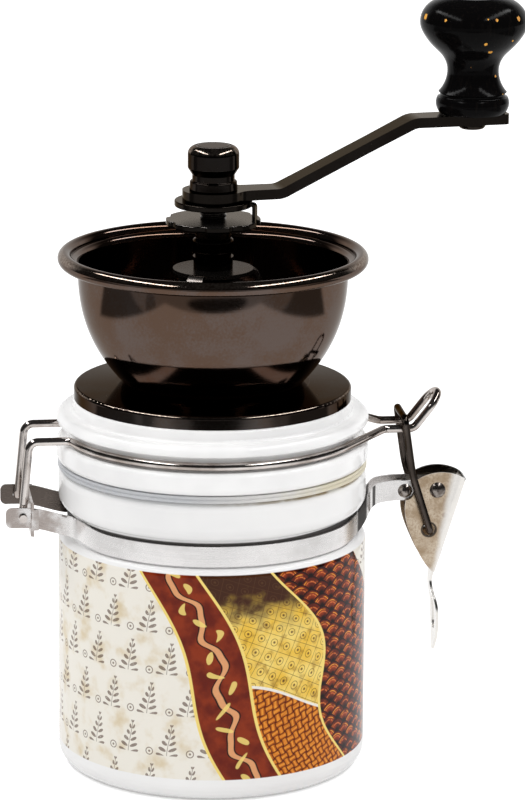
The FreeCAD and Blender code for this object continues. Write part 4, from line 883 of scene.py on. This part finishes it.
# White floor and backdrop. What mirrors see of the floor is a white sheet in a dim room, with two dark
# ovals beside and before it. To the camera the floor stays white far out, where the lamps no longer reach
stage = {
    "floorRadius": 3.0,
    "floorWhite": 0.9,
    "floorGlow": 0.3,
    "farGlow": 0.3,
    "farFrom": 350.0,
    "farTo": 1000.0,
    "daylight": 0.70,
    "sheetMiddle": 8.0,
    "sheetHalfWidth": 362.0,
    "sheetFront": 435.0,
    "sheetSide": -150.0,
    "sheetEdge": 22.0,
    "room": 0.17,
    "ahead": 0.42,
    "aheadFrom": 220.0,
    "ovals": [{"middle": (50.0, 555.0), "half": (255.0, 118.0), "turn": 0.0, "tone": 0.03},
              {"middle": (-441.0, 345.0), "half": (45.0, 190.0), "turn": 52.0, "tone": 0.22}],
    "dark": 0.025,
    "backdrop": 0.9,
    "backdropSide": (0.45, 0.75),
    "backdropTop": (0.60, 0.26),
}

camera = {
    "lens": 194.4,
    "distance": 1300.0,
    "aside": 15.5,
    "height": 443.0,
    "bearing": 7.0,
    "pitch": 14.15,
    "roll": 0.4,
}

# Two long lamps on either side of the camera, each with its bearing from the camera and its elevation
lamps = {
    "left": (-80.0, 55.0),
    "right": (80.0, 53.0),
}

lampMake = {
    "distance": 900.0,
    "width": 1150.0,
    "height": 110.0,
    "power": 4.0,
    "aimHeight": 120,
}

white = (1.0, 1.0, 1.0, 1.0)


# Right of the camera and away from it, for a place or a direction
def turnedToCamera(x, y):
    bearing = math.radians(camera["bearing"])
    return x * math.cos(bearing) - y * math.sin(bearing), x * math.sin(bearing) + y * math.cos(bearing)


def lightPath(tree, name):
    node = tree.nodes.new("ShaderNodeLightPath")
    return Flow(tree, node.outputs[name])


# 1 for what the camera sees straight or through glass
def seenDirectly(tree):
    return lightPath(tree, "Is Camera Ray").atLeast(lightPath(tree, "Is Transmission Ray"))


# The brightness of the floor in mirrors, by the place to the right of the jar and the place in front of it
def mirroredFloor(paint):
    right, back = turnedToCamera(paint.x, paint.y)
    front = back * -1.0
    half, edge = stage["sheetHalfWidth"], stage["sheetEdge"]
    sheet = (right - stage["sheetMiddle"]).abs().rise(half + edge, half - edge)
    sheet = sheet * front.rise(stage["sheetFront"] + edge, stage["sheetFront"] - edge)
    sheet = sheet.atLeast(front.rise(stage["sheetSide"] + edge, stage["sheetSide"] - edge))
    isAhead = front.rise(stage["aheadFrom"] - edge, stage["aheadFrom"] + edge)
    room = paint.blend(isAhead, stage["room"], stage["ahead"])
    for oval in stage["ovals"]:
        turn = math.radians(oval["turn"])
        aside = right - oval["middle"][0]
        away = front - oval["middle"][1]
        across = (aside * math.cos(turn) + away * math.sin(turn)) / oval["half"][0]
        along = (away * math.cos(turn) - aside * math.sin(turn)) / oval["half"][1]
        room = paint.blend(paint.length(across, along).rise(1.1, 0.85), room, oval["tone"])
    return paint.blend(sheet, room, 1.0)


def makeFloor():
    steps = 96
    turn = np.linspace(0, 2 * np.pi, steps, endpoint=False)
    rim = np.column_stack([np.cos(turn), np.sin(turn), np.zeros(steps)]) * stage["floorRadius"]
    mesh = bpy.data.meshes.new("floor")
    mesh.from_pydata(rim.tolist(), [], [list(range(steps))])
    floor = bpy.data.objects.new("floor", mesh)
    bpy.context.scene.collection.objects.link(floor)
    paint = Paint("floorWhite")
    tree = paint.tree
    paint.set("Base Color", (stage["floorWhite"],) * 3)
    paint.surface.inputs["Roughness"].default_value = 1.0
    paint.surface.inputs["Specular IOR Level"].default_value = 0.0
    paint.surface.inputs["Emission Color"].default_value = white
    far = paint.length(paint.x, paint.y).rise(stage["farFrom"], stage["farTo"])
    paint.set("Emission Strength", seenDirectly(tree) * (far * stage["farGlow"] + stage["floorGlow"]))
    glow = tree.nodes.new("ShaderNodeEmission")
    feed(mirroredFloor(paint), glow.inputs["Strength"])
    choice = tree.nodes.new("ShaderNodeMixShader")
    feed(lightPath(tree, "Is Glossy Ray"), choice.inputs[0])
    tree.links.new(paint.surface.outputs[0], choice.inputs[1])
    tree.links.new(glow.outputs[0], choice.inputs[2])
    tree.links.new(choice.outputs[0], tree.nodes["Material Output"].inputs["Surface"])
    mesh.materials.append(paint.material)


# The surroundings are white to the camera, an even daylight to matt surfaces, and to mirrors a white
# backdrop that fades upwards into a dark room
def makeWorld():
    world = bpy.data.worlds.new("studio")
    bpy.context.scene.world = world
    world.use_nodes = True
    tree = world.node_tree
    where = tree.nodes.new("ShaderNodeTexCoord")
    parts = tree.nodes.new("ShaderNodeSeparateXYZ")
    tree.links.new(where.outputs["Generated"], parts.inputs[0])
    x, y, z = (Flow(tree, parts.outputs[i]) for i in range(3))
    back = turnedToCamera(x, y)[1]
    backdrop = back.rise(*stage["backdropSide"]) * z.rise(*stage["backdropTop"])
    mirrored = backdrop * (stage["backdrop"] - stage["dark"]) + stage["dark"]
    glossy = lightPath(tree, "Is Glossy Ray")
    level = (1.0 - glossy) * stage["daylight"] + glossy * mirrored
    background = tree.nodes["Background"]
    feed(level.atLeast(seenDirectly(tree)), background.inputs["Strength"])
    background.inputs["Color"].default_value = white


def makeLamp(name, aside, elevation):
    data = bpy.data.lights.new(name, "AREA")
    data.shape = "RECTANGLE"
    data.size = lampMake["width"] * mm
    data.size_y = lampMake["height"] * mm
    data.energy = lampMake["power"]
    light = bpy.data.objects.new(name, data)
    bpy.context.scene.collection.objects.link(light)
    bearing = math.radians(aside - camera["bearing"])
    rise = math.radians(elevation)
    level = math.cos(rise)
    out = Vector((math.sin(bearing) * level, -math.cos(bearing) * level, math.sin(rise)))
    light.location = Vector((0, 0, lampMake["aimHeight"] * mm)) + out * lampMake["distance"] * mm
    light.rotation_mode = "QUATERNION"
    light.rotation_quaternion = (-out).to_track_quat("-Z", "Y")


def makeCamera():
    data = bpy.data.cameras.new("camera")
    data.lens = camera["lens"]
    data.clip_start = 0.05
    data.clip_end = 50.0
    view = bpy.data.objects.new("camera", data)
    bpy.context.scene.collection.objects.link(view)
    bearing, pitch, roll = (math.radians(camera[key]) for key in ("bearing", "pitch", "roll"))
    right = Vector((math.cos(bearing), -math.sin(bearing), 0))
    ahead = Vector((math.sin(bearing), math.cos(bearing), 0))
    back = -ahead * math.cos(pitch) + Vector((0, 0, math.sin(pitch)))
    up = back.cross(right)
    turnedRight = right * math.cos(roll) + up * math.sin(roll)
    turnedUp = up * math.cos(roll) - right * math.sin(roll)
    place = right * camera["aside"] - ahead * camera["distance"] + Vector((0, 0, camera["height"]))
    matrix = Matrix((turnedRight, turnedUp, back)).transposed().to_4x4()
    matrix.translation = place * mm
    view.matrix_world = matrix
    bpy.context.scene.camera = view


makeFloor()
makeWorld()
for lampName, (lampAside, lampElevation) in lamps.items():
    makeLamp(lampName, lampAside, lampElevation)
makeCamera()
bpy.context.scene.view_settings.view_transform = "Standard"
report("stage")
